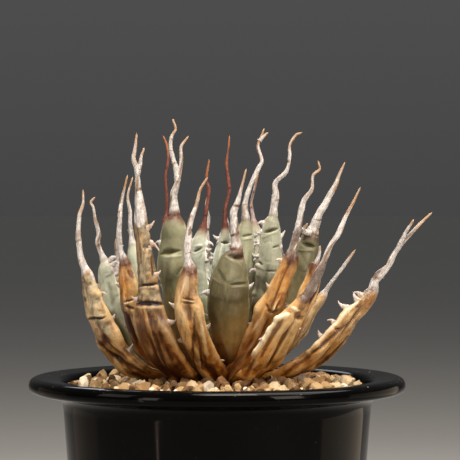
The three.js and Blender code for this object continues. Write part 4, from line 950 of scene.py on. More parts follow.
def limbShell(line, widths, sides, order, run, horn, wide=None):  # a thin limb, wider one way at its root
    rings = len(line)
    along = unit(np.gradient(line, axis=0))
    helper = np.array([0.0, 1.0, 0.0]) if abs(along[0, 2]) > 0.9 else np.array([0.0, 0.0, 1.0])
    across = unit(np.cross(helper, along))
    out = np.cross(along, across)
    angle = np.arange(sides) * 2 * math.pi / sides
    steps = np.repeat(np.arange(rings)[:, None] * 0.7, sides, axis=1)
    circle = np.stack([np.cos(angle) + 0 * steps, np.sin(angle) + 0 * steps, steps], -1)
    lumps = softNoise(circle * 1.4 + order, 3)
    radius = (widths / 2)[:, None] * (1 + limbs["lumps"] * lumps)
    points = (line[:, None] + across[:, None] * (np.cos(angle) * radius)[..., None]
              + out[:, None] * (np.sin(angle) * radius)[..., None])
    if wide is not None:
        reach = ((points - line[:, None]) * wide).sum(-1, keepdims=True)
        points = points + reach * wide * np.linspace(1.1, 0, rings)[:, None, None]
    flat = points.reshape(-1, 3)
    ends = np.stack([line[0], line[-1] + along[-1] * widths[-1] * 0.6])

    def spreadRun(values):
        return np.concatenate([np.repeat(values, sides), values[:1], values[-1:]])

    points = np.concatenate([flat, ends])
    labels = ("side", "ringAndHollowTone", "tone", "relief", *patchNames, *leafTones)
    values = {label: np.zeros(len(points)) for label in labels}
    values.update(run=spreadRun(run), horn=spreadRun(horn), grain=points + order * 5.0)
    return dict(points=points, faces=shellFaces(rings, sides), values=values)


def forkShells(leaf, order):
    shells = []
    rings = limbs["forkRings"]
    for fork in leaf.get("forks", []):
        places, at = smoothRun([list(point) + [0.0] for point in fork])
        line = at(np.linspace(0, places[-1], rings))[:, :3] + np.array([0, 0, potHeight])
        widths = np.linspace(leaf["spineWidth"] * limbs["forkWidth"], leafMesh["spineTipWidth"], rings)
        run = np.linspace(1.1, 2, rings)
        shells.append(limbShell(line, widths, limbs["forkSides"], order, run, np.ones(rings)))
    return shells


def toothShells(leaf, order):  # hooked horn teeth, rooted inside the margin
    rows, collar, _ = leafLine(leaf)
    horny = leaf.get("horny", leafTones["horny"])
    draw = leafDraw("teeth", order)
    knobs = []
    while horny > 0.5 and len(knobs) < limbs["knobs"]:
        side = 1 if next(draw) > 0.5 else -1
        knobs.append([side, 0.42 + 0.52 * next(draw), 0.5 + next(draw) ** 2 * 1.7, next(draw) * 1.6 - 0.8,
                      next(draw) - 0.6])
    rings = limbs["toothRings"]
    shells = []
    for number, (side, share, length, lean, rise) in enumerate(leaf["teeth"] + knobs):
        place = np.array([share * collar])
        along, across, out = (v[0] for v in leafFrame(rows, place, leaf["facing"]))
        row = rows(place)[0]
        way = unit(across * side + along * lean - out * rise)
        root = row[:3] + across * side * (row[3] / 2 - limbs["toothRoot"])
        hook = length * limbs["hooks"][number % 3]
        knee = root + way * (limbs["toothRoot"] + length * 0.5) - along * hook * 0.5
        tip = knee + way * length * 0.4 + along * hook * 1.1
        t = np.linspace(0, 1, rings)[:, None]
        line = (1 - t) ** 2 * root + 2 * t * (1 - t) * knee + t ** 2 * tip
        widths = mix(1.2 + 0.14 * length, limbs["toothTip"], t[:, 0] ** 0.8)
        horn = np.full(rings, 0.4 + 0.8 * horny if leaf["kind"] == "dry" else 1.0)
        run = np.full(rings, 1.3)
        shells.append(limbShell(line, widths, limbs["toothSides"], order * 7 + number, run, horn, along))
    return shells


# Leaf skins

# Hollows and low relief take the patch and ring browns, partly as the spine's own colour and partly as
# painted shade.
def hornColour(tree, grain):  # chalky spine with brown hollows, dark rings and a tan tip
    run, young = fac(tree, "run"), fac(tree, "young")
    own = {name: blendColour(tree, young, old, youngSpine[name]) for name, old in oldSpine.items()}
    patch = noiseNode(tree, stretched(tree, grain, (0.7, 0.16, 1)), 1.0, 4, 0.6)
    speck = noiseNode(tree, stretched(tree, grain, (2.4, 0.7, 1)), 1.0, 3, 0.6)
    marked = times(tree, fac(tree, "ringAndHollowTone"), spread(tree, patch, 0.3, 0.6, 0.6, 1.5))
    base = spread(tree, plus(tree, run, times(tree, speck, 0.1)), 1.06, 1.15, 0.9, 0)
    return layered(tree, own["chalkShade"], own, [
        (spread(tree, speck, 0.35, 0.65), "chalk"),
        (spread(tree, patch, 0.52, 0.68, 0, 0.75), "patch"),
        (spread(tree, marked, 0.1, 0.4, 0, 0.8), "patch"),
        (spread(tree, marked, 0.4, 0.9, 0, 0.85), "ring"),
        # Low relief darkens to the ring colour: painted shade in the spine's grooves.
        (spread(tree, fac(tree, "relief"), -0.05, -0.6, 0, 0.5), "ring"),
        (spread(tree, plus(tree, run, times(tree, patch, 0.9)), 2.1, 2.42, 0, 0.8), "tip"),
        (times(tree, base, fac(tree, "collar")), "collar"),
    ])


def leafSkin(name, look):
    material, tree, shader = newMaterial(name)
    grain = fac(tree, "grain", "Vector")
    run, relief, tone = fac(tree, "run"), fac(tree, "relief"), fac(tree, "tone")
    blotch = noiseNode(tree, stretched(tree, grain, look["blotch"]), 1.0, 5, 0.6, 0.6)
    fibre = noiseNode(tree, stretched(tree, grain, look["fibre"]), 1.0, 4, 0.6)
    speck = noiseNode(tree, stretched(tree, grain, (2.6, 1.6, 1)), 1.0, 3, 0.6)
    mottle = noiseNode(tree, stretched(tree, grain, (0.75, 0.4, 1)), 1.0, 5, 0.62, 0.4)

    # Living colour from foot to collar, with bloom and blotches. The ramps are darkest at the foot, partly
    # the leaf's own colour and partly painted shade where the feet crowd at the crown.
    shifted = plus(tree, run, spread(tree, blotch, 0.2, 0.8, -look["wander"], look["wander"]))
    colour = blendColour(tree, fac(tree, "wither"), ramp(tree, shifted, look["along"]),
                         ramp(tree, shifted, look["withered"]))
    bloomy = times(tree, fac(tree, "bloom"), spread(tree, shifted, 0.25, 0.75))
    freckle = spread(tree, blotch, 0.45, 0.6, 0, look["freckleShare"])
    colour = layered(tree, colour, look, [
        (times(tree, bloomy, spread(tree, blotch, 0.2, 0.6, 0.6, 1.0)), "bloomColour"),
        (spread(tree, mottle, 0.5, 0.63, 0, look["mottleShare"]), "mottlePale"),
        (spread(tree, mottle, 0.5, 0.37, 0, look["mottleShare"]), "mottleDark"),
        (times(tree, spread(tree, speck, 0.6, 0.68), freckle), "valley"),
        (spread(tree, blotch, 0.5, 0.72, 0, look["blotchShare"]), "blotchColour"),
        (spread(tree, fibre, 0.48, 0.3, 0, look["fibreShare"]), "fibreColour"),
    ])

    # Patches placed by marks
    ragged, low, high = look["patchEdge"]
    for patch in ("cream", "amber", "scorch"):
        amount = fac(tree, patch)
        rough = plus(tree, amount, spread(tree, mottle, 0.25, 0.75, -ragged, ragged))
        share = times(tree, spread(tree, rough, low, high), spread(tree, amount, 0.0, 0.35))
        own = blendColour(tree, spread(tree, mottle, 0.35, 0.6), *look[patch])
        colour = blendColour(tree, share, colour, own)

    # Ridges lightened as painted highlight and valleys darkened as painted shade, then margins, dark and
    # pale marks (partly painted shade and highlight), and the collar
    lit = times(tree, spread(tree, relief, 0.05, 0.7), spread(tree, speck, 0.25, 0.6, 0.4, 1))
    valley = spread(tree, relief, -0.05, -0.7, 0, look["valleyShare"])
    side = plus(tree, maths(tree, "ABSOLUTE", fac(tree, "side")), times(tree, fac(tree, "horny"), 0.06))
    margin = times(tree, spread(tree, side, 0.94, 1.0), spread(tree, mottle, 0.35, 0.55, 0.35, 1))
    collar = spread(tree, plus(tree, run, times(tree, fibre, 0.06)), 0.955, 1.03)
    colour = layered(tree, colour, look, [
        (times(tree, lit, look["ridgeShare"]), "ridge"),
        (times(tree, valley, spread(tree, fac(tree, "cream"), 0, 1, 1, 0.3)), "valley"),
        (times(tree, margin, look["marginShare"]), "margin"),
        (spread(tree, tone, 0.05, 0.9), "paleMark"),
        (spread(tree, tone, -0.05, -0.9), "darkMark"),
        (times(tree, collar, fac(tree, "collar")), "collar"),
    ])
    # The shade tone and the darkening towards the foot multiply the colour down. This is partly the leaf's
    # own darker tone and partly painted shade, for leaves that stand in shadow and for the feet crowded at
    # the crown.
    foot = spread(tree, run, 0.62, 0.1, 0, look["footDarkening"])
    for share, veil in ((fac(tree, "shade"), "shadeVeil"), (foot, "footVeil")):
        colour = blendColour(tree, share, colour, look[veil], "MULTIPLY")

    # Horn over the skin, and soot over both
    chalk = spread(tree, fac(tree, "chalk"), 0.15, 0.5)
    crust = times(tree, chalk, spread(tree, mottle, 0.3, 0.5, 0.5, 1))
    horn = times(tree, fac(tree, "horn"), spread(tree, speck, 0.1, 0.5, 0.7, 1), clamp=True)
    colour = blendColour(tree, maths(tree, "MAXIMUM", horn, crust), colour, hornColour(tree, grain))
    sooty = blendColour(tree, spread(tree, speck, 0.3, 0.7), *look["smoke"])
    smoke = spread(tree, fac(tree, "smoke"), 0.1, 0.7)
    soot = times(tree, smoke, spread(tree, mottle, 0.2, 0.5, 0.5, 0.95))
    height = plus(tree, times(tree, fibre, look["fibreBump"]), times(tree, speck, 0.35))
    setInputs(tree, shader, {
        "Base Color": blendColour(tree, soot, colour, sooty),
        "Roughness": spread(tree, speck, 0.2, 0.8, look["rough"] - 0.08, look["rough"] + 0.12),
        "Specular IOR Level": look["gloss"],
        "Normal": bumped(tree, height, look["bump"], 0.4 * mm),
    })
    return material


oldSpine = dict(chalk="#d2cdca", chalkShade="#a59e9a", patch="#856c54", ring="#4a3020", tip="#a97f52",
                collar="#6e4c34")
youngSpine = dict(chalk="#7c463a", chalkShade="#5f3228", patch="#54261c", ring="#34130e", tip="#a0663c",
                  collar="#5e2c20")
allLooks = dict(cream=("#8f7a59", "#c8b997"), amber=("#a8662a", "#cf9448"), scorch=("#3d1d0e", "#6b3a1c"),
                smoke=("#46352b", "#7c6a5e"), shadeVeil="#8d8070", footVeil="#ffdc9c")
livingLooks = dict(fibre=(1.6, 0.1, 1), fibreShare=0.2, freckleShare=0.15, patchEdge=(0.12, 0.05, 0.95),
                   bump=0.35, fibreBump=0.3, **allLooks)
# In each look, ridge is a painted highlight and valley a painted shade, both laid on by the relief; valley
# also colours the freckles.
skinLooks = {
    "green": dict(
        along=[(0.0, "#2c1b0b"), (0.2, "#41331a"), (0.38, "#5c522c"), (0.56, "#7e7a55"), (0.74, "#969775"),
               (0.97, "#a0a182")],
        withered=[(0.0, "#5e3612"), (0.24, "#a8752e"), (0.46, "#d2ac66"), (0.6, "#a0894e"),
                  (0.7, "#6f643a"), (0.8, "#7f7d58"), (0.97, "#9d9c7c")],
        wander=0.05, blotch=(0.16, 0.1, 1), blotchShare=0.35, blotchColour="#8a8b66", fibreColour="#7a7650",
        ridge="#bfc1a3", ridgeShare=0.5, valley="#555030", valleyShare=0.6, margin="#d3cdb8",
        marginShare=0.8, paleMark="#c9c9ae", darkMark="#4b4421", collar="#5c2a16", bloomColour="#c3c8b4",
        mottleShare=0.25, mottlePale="#b3b496", mottleDark="#77724a", footDarkening=0.5, rough=0.5, gloss=0.4,
        **livingLooks),
    "pale": dict(
        along=[(0.0, "#2f2a14"), (0.2, "#55532f"), (0.42, "#838a6a"), (0.62, "#a5ac94"), (0.85, "#bcc1b0"),
               (0.97, "#b2ae96")],
        withered=[(0.0, "#4f2c10"), (0.3, "#7d6a3a"), (0.97, "#9c9a78")],
        wander=0.06, blotch=(0.2, 0.12, 1), blotchShare=0.3, blotchColour="#c4c8ba", fibreColour="#8c9178",
        ridge="#e2e4d8", ridgeShare=0.6, valley="#5f6344", valleyShare=0.7, margin="#ece9e0",
        marginShare=0.9, paleMark="#e4e3d5", darkMark="#4b4328", collar="#7d5f4c", bloomColour="#c8cdbd",
        mottleShare=0.3, mottlePale="#d2d5c8", mottleDark="#7d8469", footDarkening=0.3, rough=0.52, gloss=0.35,
        **livingLooks),
    "dry": dict(
        along=[(0.0, "#52230a"), (0.12, "#7a430f"), (0.32, "#a3691f"), (0.55, "#b0772f"), (0.78, "#b98c50"),
               (0.95, "#a5733a")],
        withered=[(0.0, "#4a1d07"), (0.2, "#602e0b"), (0.4, "#7a4818"), (0.62, "#8e6c42"),
                  (0.85, "#a3906f"), (0.97, "#9c8c70")],
        wander=0.09, blotch=(0.26, 0.09, 1), blotchShare=0.45, blotchColour="#96591f", fibre=(1.3, 0.07, 1),
        fibreShare=0.25, fibreColour="#8f5a26", ridge="#e6c48c", ridgeShare=0.6, valley="#4e260b",
        valleyShare=0.65, margin="#e3c08a", marginShare=0.4, paleMark="#efe0c0", darkMark="#24110a",
        collar="#57301a", bloomColour="#cdb183", mottleShare=0.4, freckleShare=0.7, mottlePale="#d1a255",
        mottleDark="#6f4018", patchEdge=(0.3, 0.2, 0.7), footDarkening=1.0, rough=0.36, gloss=0.5, bump=0.9,
        fibreBump=0.6, **allLooks),
}
skins = {kind: leafSkin(kind + "Skin", look) for kind, look in skinLooks.items()}


# Loose chalky flakes on the spines

flakes = dict(density=0.05, smallest=0.4, largest=0.9, seed=4)


def flakeTree():
    sockets = {"Flake": ("Object", None), "Density": ("Float", 400000.0), "Smallest": ("Float", 0.5),
               "Largest": ("Float", 1.2), "Seed": ("Int", 0), "Material": ("Material", None)}
    tree, given, result = geometryTree("spineFlakes", sockets)
    horn = addNode(tree, "GeometryNodeInputNamedAttribute", {"Name": "horn"}, data_type="FLOAT")
    run = addNode(tree, "GeometryNodeInputNamedAttribute", {"Name": "run"}, data_type="FLOAT")
    thinning = addNode(tree, "ShaderNodeMapRange", {"Value": run.outputs[0], "From Min": 1.05,
                                                    "From Max": 1.6, "To Min": 1.0, "To Max": 0.12})
    density = times(tree, times(tree, horn.outputs[0], thinning.outputs[0]), given["Density"])
    spots = addNode(tree, "GeometryNodeDistributePointsOnFaces",
                    {"Mesh": given["Geometry"], "Density": density, "Seed": given["Seed"]},
                    distribute_method="RANDOM")
    jitter = randomValue(tree, "FLOAT_VECTOR",
                         {"Min": (-0.45, -0.45, -1.6), "Max": (0.45, 0.45, 1.6), "Seed": 3})
    turned = addNode(tree, "FunctionNodeRotateEuler",
                     {"Rotation": spots.outputs["Rotation"], "Rotate By": jitter})
    size = randomValue(tree, "FLOAT", {2: given["Smallest"], 3: given["Largest"], "Seed": 6})
    flake = addNode(tree, "GeometryNodeObjectInfo", {"Object": given["Flake"]})
    placed = addNode(tree, "GeometryNodeInstanceOnPoints",
                     {"Points": spots.outputs["Points"], "Instance": flake.outputs["Geometry"],
                      "Rotation": turned.outputs[0], "Scale": size})
    real = addNode(tree, "GeometryNodeRealizeInstances", {"Geometry": placed.outputs[0]})
    both = addNode(tree, "GeometryNodeJoinGeometry")
    tree.links.new(real.outputs[0], both.inputs[0])
    tree.links.new(given["Geometry"], both.inputs[0])
    paintResult(tree, both.outputs[0], given["Material"], result)
    return tree


def flakeObject():  # a curled chip, 1 mm long, lying in XY with Z out
    outline = [(-0.5, 0.0), (-0.2, 0.2), (0.3, 0.16), (0.55, 0.0), (0.3, -0.14), (-0.2, -0.18)]
    points = []
    for under in (0.02, 0.09):
        points += [(x * mm, y * mm, (under + 0.5 * max(0, x) ** 2) * mm) for x, y in outline]
    count = len(outline)
    faces = [list(range(count))[::-1], list(range(count, 2 * count))]
    faces += [[i, (i + 1) % count, count + (i + 1) % count, count + i] for i in range(count)]
    mesh = bpy.data.meshes.new("flake")
    mesh.from_pydata(points, [], faces)
    return addObject("flake", mesh)


flakeShape = flakeObject()
peel = flakeTree()
leafShelf = bpy.data.collections.new("leafShelf")
bpy.context.scene.collection.children.link(leafShelf)


def makeLeaf(node, leaf, order):
    shells = [leafShell(leaf, order)] + forkShells(leaf, order) + toothShells(leaf, order)
    skin = skins[leaf["kind"]]
    bare = addObject(node + "_bare", makeMesh(node + "_bare", shells, skin))
    mesh = runTree(bare, peel, {"Flake": flakeShape, "Density": flakes["density"] / mm ** 2,
                                "Smallest": flakes["smallest"], "Largest": flakes["largest"],
                                "Seed": flakes["seed"] + order, "Material": skin})
    bpy.data.objects.remove(bare)
    mesh.name = node + "_skin"
    piece = bpy.data.objects.new(node + "_skin", mesh)
    leafShelf.objects.link(piece)
    finishPiece(piece, node)


for order, (node, leaf) in enumerate(shownLeaves.items()):
    makeLeaf(node, leaf, order)
for order, (node, plan) in enumerate(hiddenLeaves.items()):
    makeLeaf(node, hiddenLeaf(order, plan), order + len(shownLeaves))


# Lathed pieces: profiles of [radius, height] in mm

def finerProfile(profile, cornerCut, longest):  # corners eased by a curve, long runs cut up
    points = [np.array(p, float) for p in profile]
    eased = [points[0]]
    for before, corner, after in zip(points, points[1:], points[2:]):
        toBefore, toAfter = before - corner, after - corner
        a = corner + toBefore * min(0.45, cornerCut / np.linalg.norm(toBefore))
        b = corner + toAfter * min(0.45, cornerCut / np.linalg.norm(toAfter))
        for t in np.linspace(0, 1, 6):
            eased.append((1 - t) ** 2 * a + 2 * t * (1 - t) * corner + t ** 2 * b)
    eased.append(points[-1])
    finer = [eased[0]]
    for point in eased[1:]:
        length = np.linalg.norm(point - finer[-1])
        if length < 1e-4:
            continue
        count = max(1, math.ceil(length / longest))
        start = finer[-1]
        finer += [start + (point - start) * k / count for k in range(1, count + 1)]
    return finer


def latheMesh(name, plan):  # a profile turned round the pot's axis, facing outwards
    mesh = bpy.data.meshes.new(name)
    profile = finerProfile(plan["profile"], plan["cornerCut"], plan["longest"])
    points = [(radius * mm, 0, height * mm) for radius, height in profile]
    mesh.from_pydata(points, [(i, i + 1) for i in range(len(points) - 1)], [])
    source = addObject(name + "Profile", mesh)
    turn = source.modifiers.new("turn", "SCREW")
    turn.steps = turn.render_steps = plan["steps"]
    turn.use_merge_vertices = True
    turn.merge_threshold = 1e-6
    turn.use_smooth_shade = True
    solid = shownMesh(source)
    solid.name = name
    bpy.data.objects.remove(source)
    points = np.array([v.co for v in solid.vertices])
    if shellVolume(points, [list(p.vertices) for p in solid.polygons]) < 0:
        solid.flip_normals()
    return solid


# Pot: black gloss plastic with a dished brim, a cove under it and a foot with drain holes

pot = dict(drainHoles=6, drainRadius=4 * mm, drainCircle=25 * mm, steps=144, cornerCut=0.9, longest=4,
           profile=[[0, 0], [13, 0], [13.8, 1.2], [37.8, 1.2], [38.6, 0], [41.4, 0], [42.2, 0.8], [49, 90],
                    [49.5, 92.4], [51, 94], [58.8, 95.2], [59.8, 96], [60, 97.6], [59.4, 99.2], [57.6, 100],
                    [50.4, 99.3], [49.2, 98.4], [47.4, 90], [40.6, 3.4], [0, 3.4]],
           black="#030303", worn="#080706", dust="#a89a86", gloss=0.05)


def drainTree():
    sockets = {"Holes": ("Int", 6), "Hole Radius": ("Float", 0.004), "Circle Radius": ("Float", 0.025),
               "Material": ("Material", None)}
    tree, given, result = geometryTree("drainHoles", sockets)
    ring = addNode(tree, "GeometryNodeMeshCircle",
                   {"Vertices": given["Holes"], "Radius": given["Circle Radius"]})
    drill = addNode(tree, "GeometryNodeMeshCylinder",
                    {"Vertices": 40, "Radius": given["Hole Radius"], "Depth": 0.02})
    drills = addNode(tree, "GeometryNodeInstanceOnPoints",
                     {"Points": ring.outputs["Mesh"], "Instance": drill.outputs["Mesh"]})
    real = addNode(tree, "GeometryNodeRealizeInstances", {"Geometry": drills.outputs[0]})
    cut = addNode(tree, "GeometryNodeMeshBoolean", {"Mesh 1": given["Geometry"], "Mesh 2": real.outputs[0]},
                  operation="DIFFERENCE")
    paintResult(tree, cut.outputs["Mesh"], given["Material"], result)
    return tree


def potGloss():
    material, tree, shader = newMaterial("blackGloss")
    place = objectCoords(tree)
    smear = noiseNode(tree, stretched(tree, place, (60, 60, 22)), 1.0, 5, 0.6, 1.5)
    dust = noiseNode(tree, place, 900, 3, 0.7)
    film = noiseNode(tree, place, 90, 4, 0.6)
    normal = addNode(tree, "ShaderNodeNewGeometry").outputs["Normal"]
    onBrim = spread(tree, upwards(tree, place), 92 * mm, 96.5 * mm)
    lies = times(tree, spread(tree, upwards(tree, normal), 0.3, 0.9), onBrim)
    specks = times(tree, spread(tree, dust, 0.66, 0.72), spread(tree, film, 0.45, 0.65, 0.1, 1))
    specks = times(tree, specks, spread(tree, lies, 0, 1, 0.06, 0.85))
    base = blendColour(tree, spread(tree, film, 0.4, 0.8, 0, 0.5), pot["black"], pot["worn"])
    wave = noiseNode(tree, stretched(tree, place, (30, 30, 9)), 1.0, 2, 0.5)
    setInputs(tree, shader, {
        "Base Color": blendColour(tree, specks, base, pot["dust"]),
        "Roughness": plus(tree, spread(tree, smear, 0.35, 0.75, 0.05, 0.16), times(tree, specks, 0.5)),
        "Specular IOR Level": pot["gloss"],
        "Normal": bumped(tree, plus(tree, wave, times(tree, dust, 0.01)), 0.12, 0.6 * mm),
    })
    return material


potSolid = addObject("potSolid", latheMesh("potBlank", pot))
potMesh = runTree(potSolid, drainTree(), {"Holes": pot["drainHoles"], "Hole Radius": pot["drainRadius"],
                                          "Circle Radius": pot["drainCircle"], "Material": potGloss()})
bpy.data.objects.remove(potSolid)
potMesh.name = "pot_shell"
potPiece = addObject("pot_shell", potMesh)
finishPiece(potPiece, "pot")
print("pot:", len(potMesh.polygons), "faces")


# Soil and crown

def roughSolid(name, plan, material):
    mesh = latheMesh(name, plan)
    points = np.array([v.co for v in mesh.vertices]) / mm
    normals = np.array([v.normal for v in mesh.vertices])
    for size, height, seed in plan["lumps"]:
        points += normals * (softNoise(points / size, seed) * height)[:, None]
    mesh.vertices.foreach_set("co", (points * mm).ravel())
    mesh.materials.append(material)
    mesh.update()
    return addObject(name, mesh)


def crumbSkin(name, dark, light, fleck, scale, fleckShare):
    material, tree, shader = newMaterial(name)
    place = objectCoords(tree)
    crumbs = noiseNode(tree, place, scale, 6, 0.65)
    flecks = noiseNode(tree, place, scale * 1.7, 3, 0.6)
    colour = blendColour(tree, spread(tree, crumbs, 0.3, 0.7), dark, light)
    setInputs(tree, shader, {
        "Base Color": blendColour(tree, spread(tree, flecks, 0.62, 0.7, 0, fleckShare), colour, fleck),
        "Roughness": spread(tree, crumbs, 0.3, 0.7, 0.8, 0.98),
        "Normal": bumped(tree, crumbs, 0.7, 1.2 * mm),
    })
    return material


soil = dict(piece="soil_fill", skin=("pottingMix", "#1d140c", "#4a3826", "#b5a487", 420, 0.8),
            steps=96, cornerCut=0.8, longest=3, lumps=[(4, 0.12, 3)],
            profile=[[0, 3.7], [40.1, 3.7], [46.9, 93.5], [9.9, 95.1], [9.7, 81.7], [0, 81.7]])
crown = dict(piece="crown_wood", skin=("woodyCrown", "#2a150a", "#6b4222", "#a98554", 500, 0.5),
             steps=72, cornerCut=0.8, longest=1.1, lumps=[(3.2, 0.6, 5), (1.3, 0.25, 6)],
             profile=[[0, 82.4], [7.2, 82.4], [9.1, 85.2], [9.1, 104], [6.6, 110.4], [3.4, 115],
                      [0, 116.4]])
for node, plan in (("soil", soil), ("crown", crown)):
    finishPiece(roughSolid(plan["piece"], plan, crumbSkin(*plan["skin"])), node)
print("soil and crown done")


# Top dressing: pumice grains strewn on a bed round the crown

dressing = dict(
    steps=120, cornerCut=0.3, longest=1.6,
    profile=[[9.9, 95.5], [12, 95.5], [46.8, 93.9], [46.8, 96], [43, 97], [14, 98.6], [9.9, 98.6],
             [9.9, 95.5]],
    tones=[(0.0, "#4c3722"), (0.12, "#735538"), (0.34, "#93754f"), (0.62, "#b2966e"), (0.86, "#cdba99"),
           (1.0, "#e8e2d4")],
    stained="#a8855a", grit="#7d5b3a", litterAndShade="#5e3d22", bedDark="#1c130b", bedLight="#4c3723",
    stoneShapes=9, cuts=8, seed=11, densest=0.4,
    large=dict(gap=3.8, scale=(1.6, 2.7), lift=0.9, clear=1.3, share=1.0, seed=3),
    small=dict(gap=2.4, scale=(0.7, 1.4), lift=1.3, clear=0.8, share=0.5, seed=8),
    chips=dict(gap=5.0, scale=(2.0, 4.5), lift=2.6, clear=0.8, share=0.4, seed=5))


def pumiceSkin():
    material, tree, shader = newMaterial("pumice")
    place = objectCoords(tree)
    grit = noiseNode(tree, place, 1500, 4, 0.65)
    cloud = noiseNode(tree, place, 380, 4, 0.6)
    fromCrown = stretched(tree, place, (1, 1, 0), (-rosetteX * mm, 0, 0))
    away = addNode(tree, "ShaderNodeVectorMath", {0: fromCrown}, operation="LENGTH").outputs["Value"]
    # Stones darken towards the crown, partly as leaf litter and partly as painted shade under the leaves.
    litterAndShade = spread(tree, plus(tree, away, times(tree, cloud, 12 * mm)), 31 * mm, 44 * mm, 0.75, 0)
    stone = layered(tree, ramp(tree, fac(tree, "shade"), dressing["tones"]), dressing, [
        (spread(tree, cloud, 0.42, 0.75, 0, 0.55), "stained"),
        (spread(tree, grit, 0.56, 0.7, 0, 0.5), "grit"),
        (litterAndShade, "litterAndShade"),
    ])
    # The bed is near black so that the gaps between the stones are dark: painted shade.
    bedColour = blendColour(tree, spread(tree, cloud, 0.4, 0.6), dressing["bedDark"], dressing["bedLight"])
    setInputs(tree, shader, {
        "Base Color": blendColour(tree, fac(tree, "isStone"), bedColour, stone),
        "Roughness": spread(tree, grit, 0.3, 0.7, 0.82, 0.97),
        "Specular IOR Level": 0.25,
        "Normal": bumped(tree, plus(tree, grit, cloud), 0.6, 0.4 * mm),
    })
    return material


def pumiceStones(count, seed):  # broken grains, about 1 mm in radius
    shelf = bpy.data.collections.new("stoneShapes")
    draw = seeded(seed)
    for number in range(count):
        builder = bmesh.new()
        bmesh.ops.create_icosphere(builder, subdivisions=2, radius=1)
        stretch = np.array([1.0 + next(draw) * 0.35, 0.85 + next(draw) * 0.25, 0.68 + next(draw) * 0.25])
        cuts = []
        for _ in range(dressing["cuts"]):
            way = unit(np.array([next(draw), next(draw), next(draw)]) - 0.5)
            cuts.append([way, 0.5 + next(draw) * 0.3])
        for vertex in builder.verts:
            spot = np.array(vertex.co)
            for cut, depth in cuts:
                spot = spot - cut * max(0, spot @ cut - depth)
            spot = spot * (1.12 + 0.2 * softNoise(spot[None] * 1.9 + number * 9, 2)[0])
            vertex.co = spot * stretch * mm
        mesh = bpy.data.meshes.new("stoneShape")
        builder.to_mesh(mesh)
        builder.free()
        shelf.objects.link(bpy.data.objects.new("stoneShape", mesh))
    return shelf


def strewTree():
    sockets = {"Stones": ("Collection", None), "Leaves": ("Collection", None), "Gap": ("Float", 0.003),
               "Smallest": ("Float", 1.4), "Largest": ("Float", 2.2), "Lift": ("Float", 0.001),
               "Clear": ("Float", 0.001), "Share": ("Float", 1.0), "Densest": ("Float", 400000.0),
               "Seed": ("Int", 0), "Material": ("Material", None)}
    tree, given, result = geometryTree("strewStones", sockets)

    # Points on the bed's upper side, clear of the leaves
    up = upwards(tree, addNode(tree, "GeometryNodeInputNormal").outputs[0])
    top = addNode(tree, "FunctionNodeCompare", {0: up, 1: 0.8}, data_type="FLOAT", operation="GREATER_THAN")
    spots = addNode(tree, "GeometryNodeDistributePointsOnFaces",
                    {"Mesh": given["Geometry"], "Selection": top.outputs[0], "Distance Min": given["Gap"],
                     "Density Max": given["Densest"], "Density Factor": given["Share"],
                     "Seed": given["Seed"]},
                    distribute_method="POISSON")
    leaves = addNode(tree, "GeometryNodeCollectionInfo", {"Collection": given["Leaves"]})
    leafMeshes = addNode(tree, "GeometryNodeRealizeInstances", {"Geometry": leaves.outputs[0]})
    nearest = addNode(tree, "GeometryNodeProximity", {0: leafMeshes.outputs[0]}, target_element="FACES")
    tooNear = addNode(tree, "FunctionNodeCompare", {0: nearest.outputs["Distance"], 1: given["Clear"]},
                      data_type="FLOAT", operation="LESS_THAN")
    kept = addNode(tree, "GeometryNodeDeleteGeometry",
                   {"Geometry": spots.outputs["Points"], "Selection": tooNear.outputs[0]}, domain="POINT")

    # Stones on the points, each with its own shade
    highest = addNode(tree, "ShaderNodeCombineXYZ", {"Z": given["Lift"]}).outputs[0]
    rise = randomValue(tree, "FLOAT_VECTOR", {"Min": (0, 0, 0), "Max": highest, "Seed": 5})
    lifted = addNode(tree, "GeometryNodeSetPosition", {"Geometry": kept.outputs[0], "Offset": rise})
    shapes = addNode(tree, "GeometryNodeCollectionInfo",
                     {"Collection": given["Stones"], "Separate Children": True, "Reset Children": True})
    turn = randomValue(tree, "FLOAT_VECTOR", {"Max": (6.28, 6.28, 6.28), "Seed": 7})
    size = randomValue(tree, "FLOAT", {2: given["Smallest"], 3: given["Largest"], "Seed": 9})
    grains = addNode(tree, "GeometryNodeInstanceOnPoints",
                     {"Points": lifted.outputs[0], "Instance": shapes.outputs[0], "Pick Instance": True,
                      "Rotation": turn, "Scale": size})
    shade = randomValue(tree, "FLOAT", {"Seed": 13})
    shaded = addNode(tree, "GeometryNodeStoreNamedAttribute",
                     {"Geometry": grains.outputs[0], "Name": "shade", "Value": shade},
                     data_type="FLOAT", domain="INSTANCE")
    real = addNode(tree, "GeometryNodeRealizeInstances", {"Geometry": shaded.outputs[0]})
    marked = addNode(tree, "GeometryNodeStoreNamedAttribute",
                     {"Geometry": real.outputs[0], "Name": "isStone", "Value": 1.0},
                     data_type="FLOAT", domain="POINT")
    paintResult(tree, marked.outputs[0], given["Material"], result)
    return tree


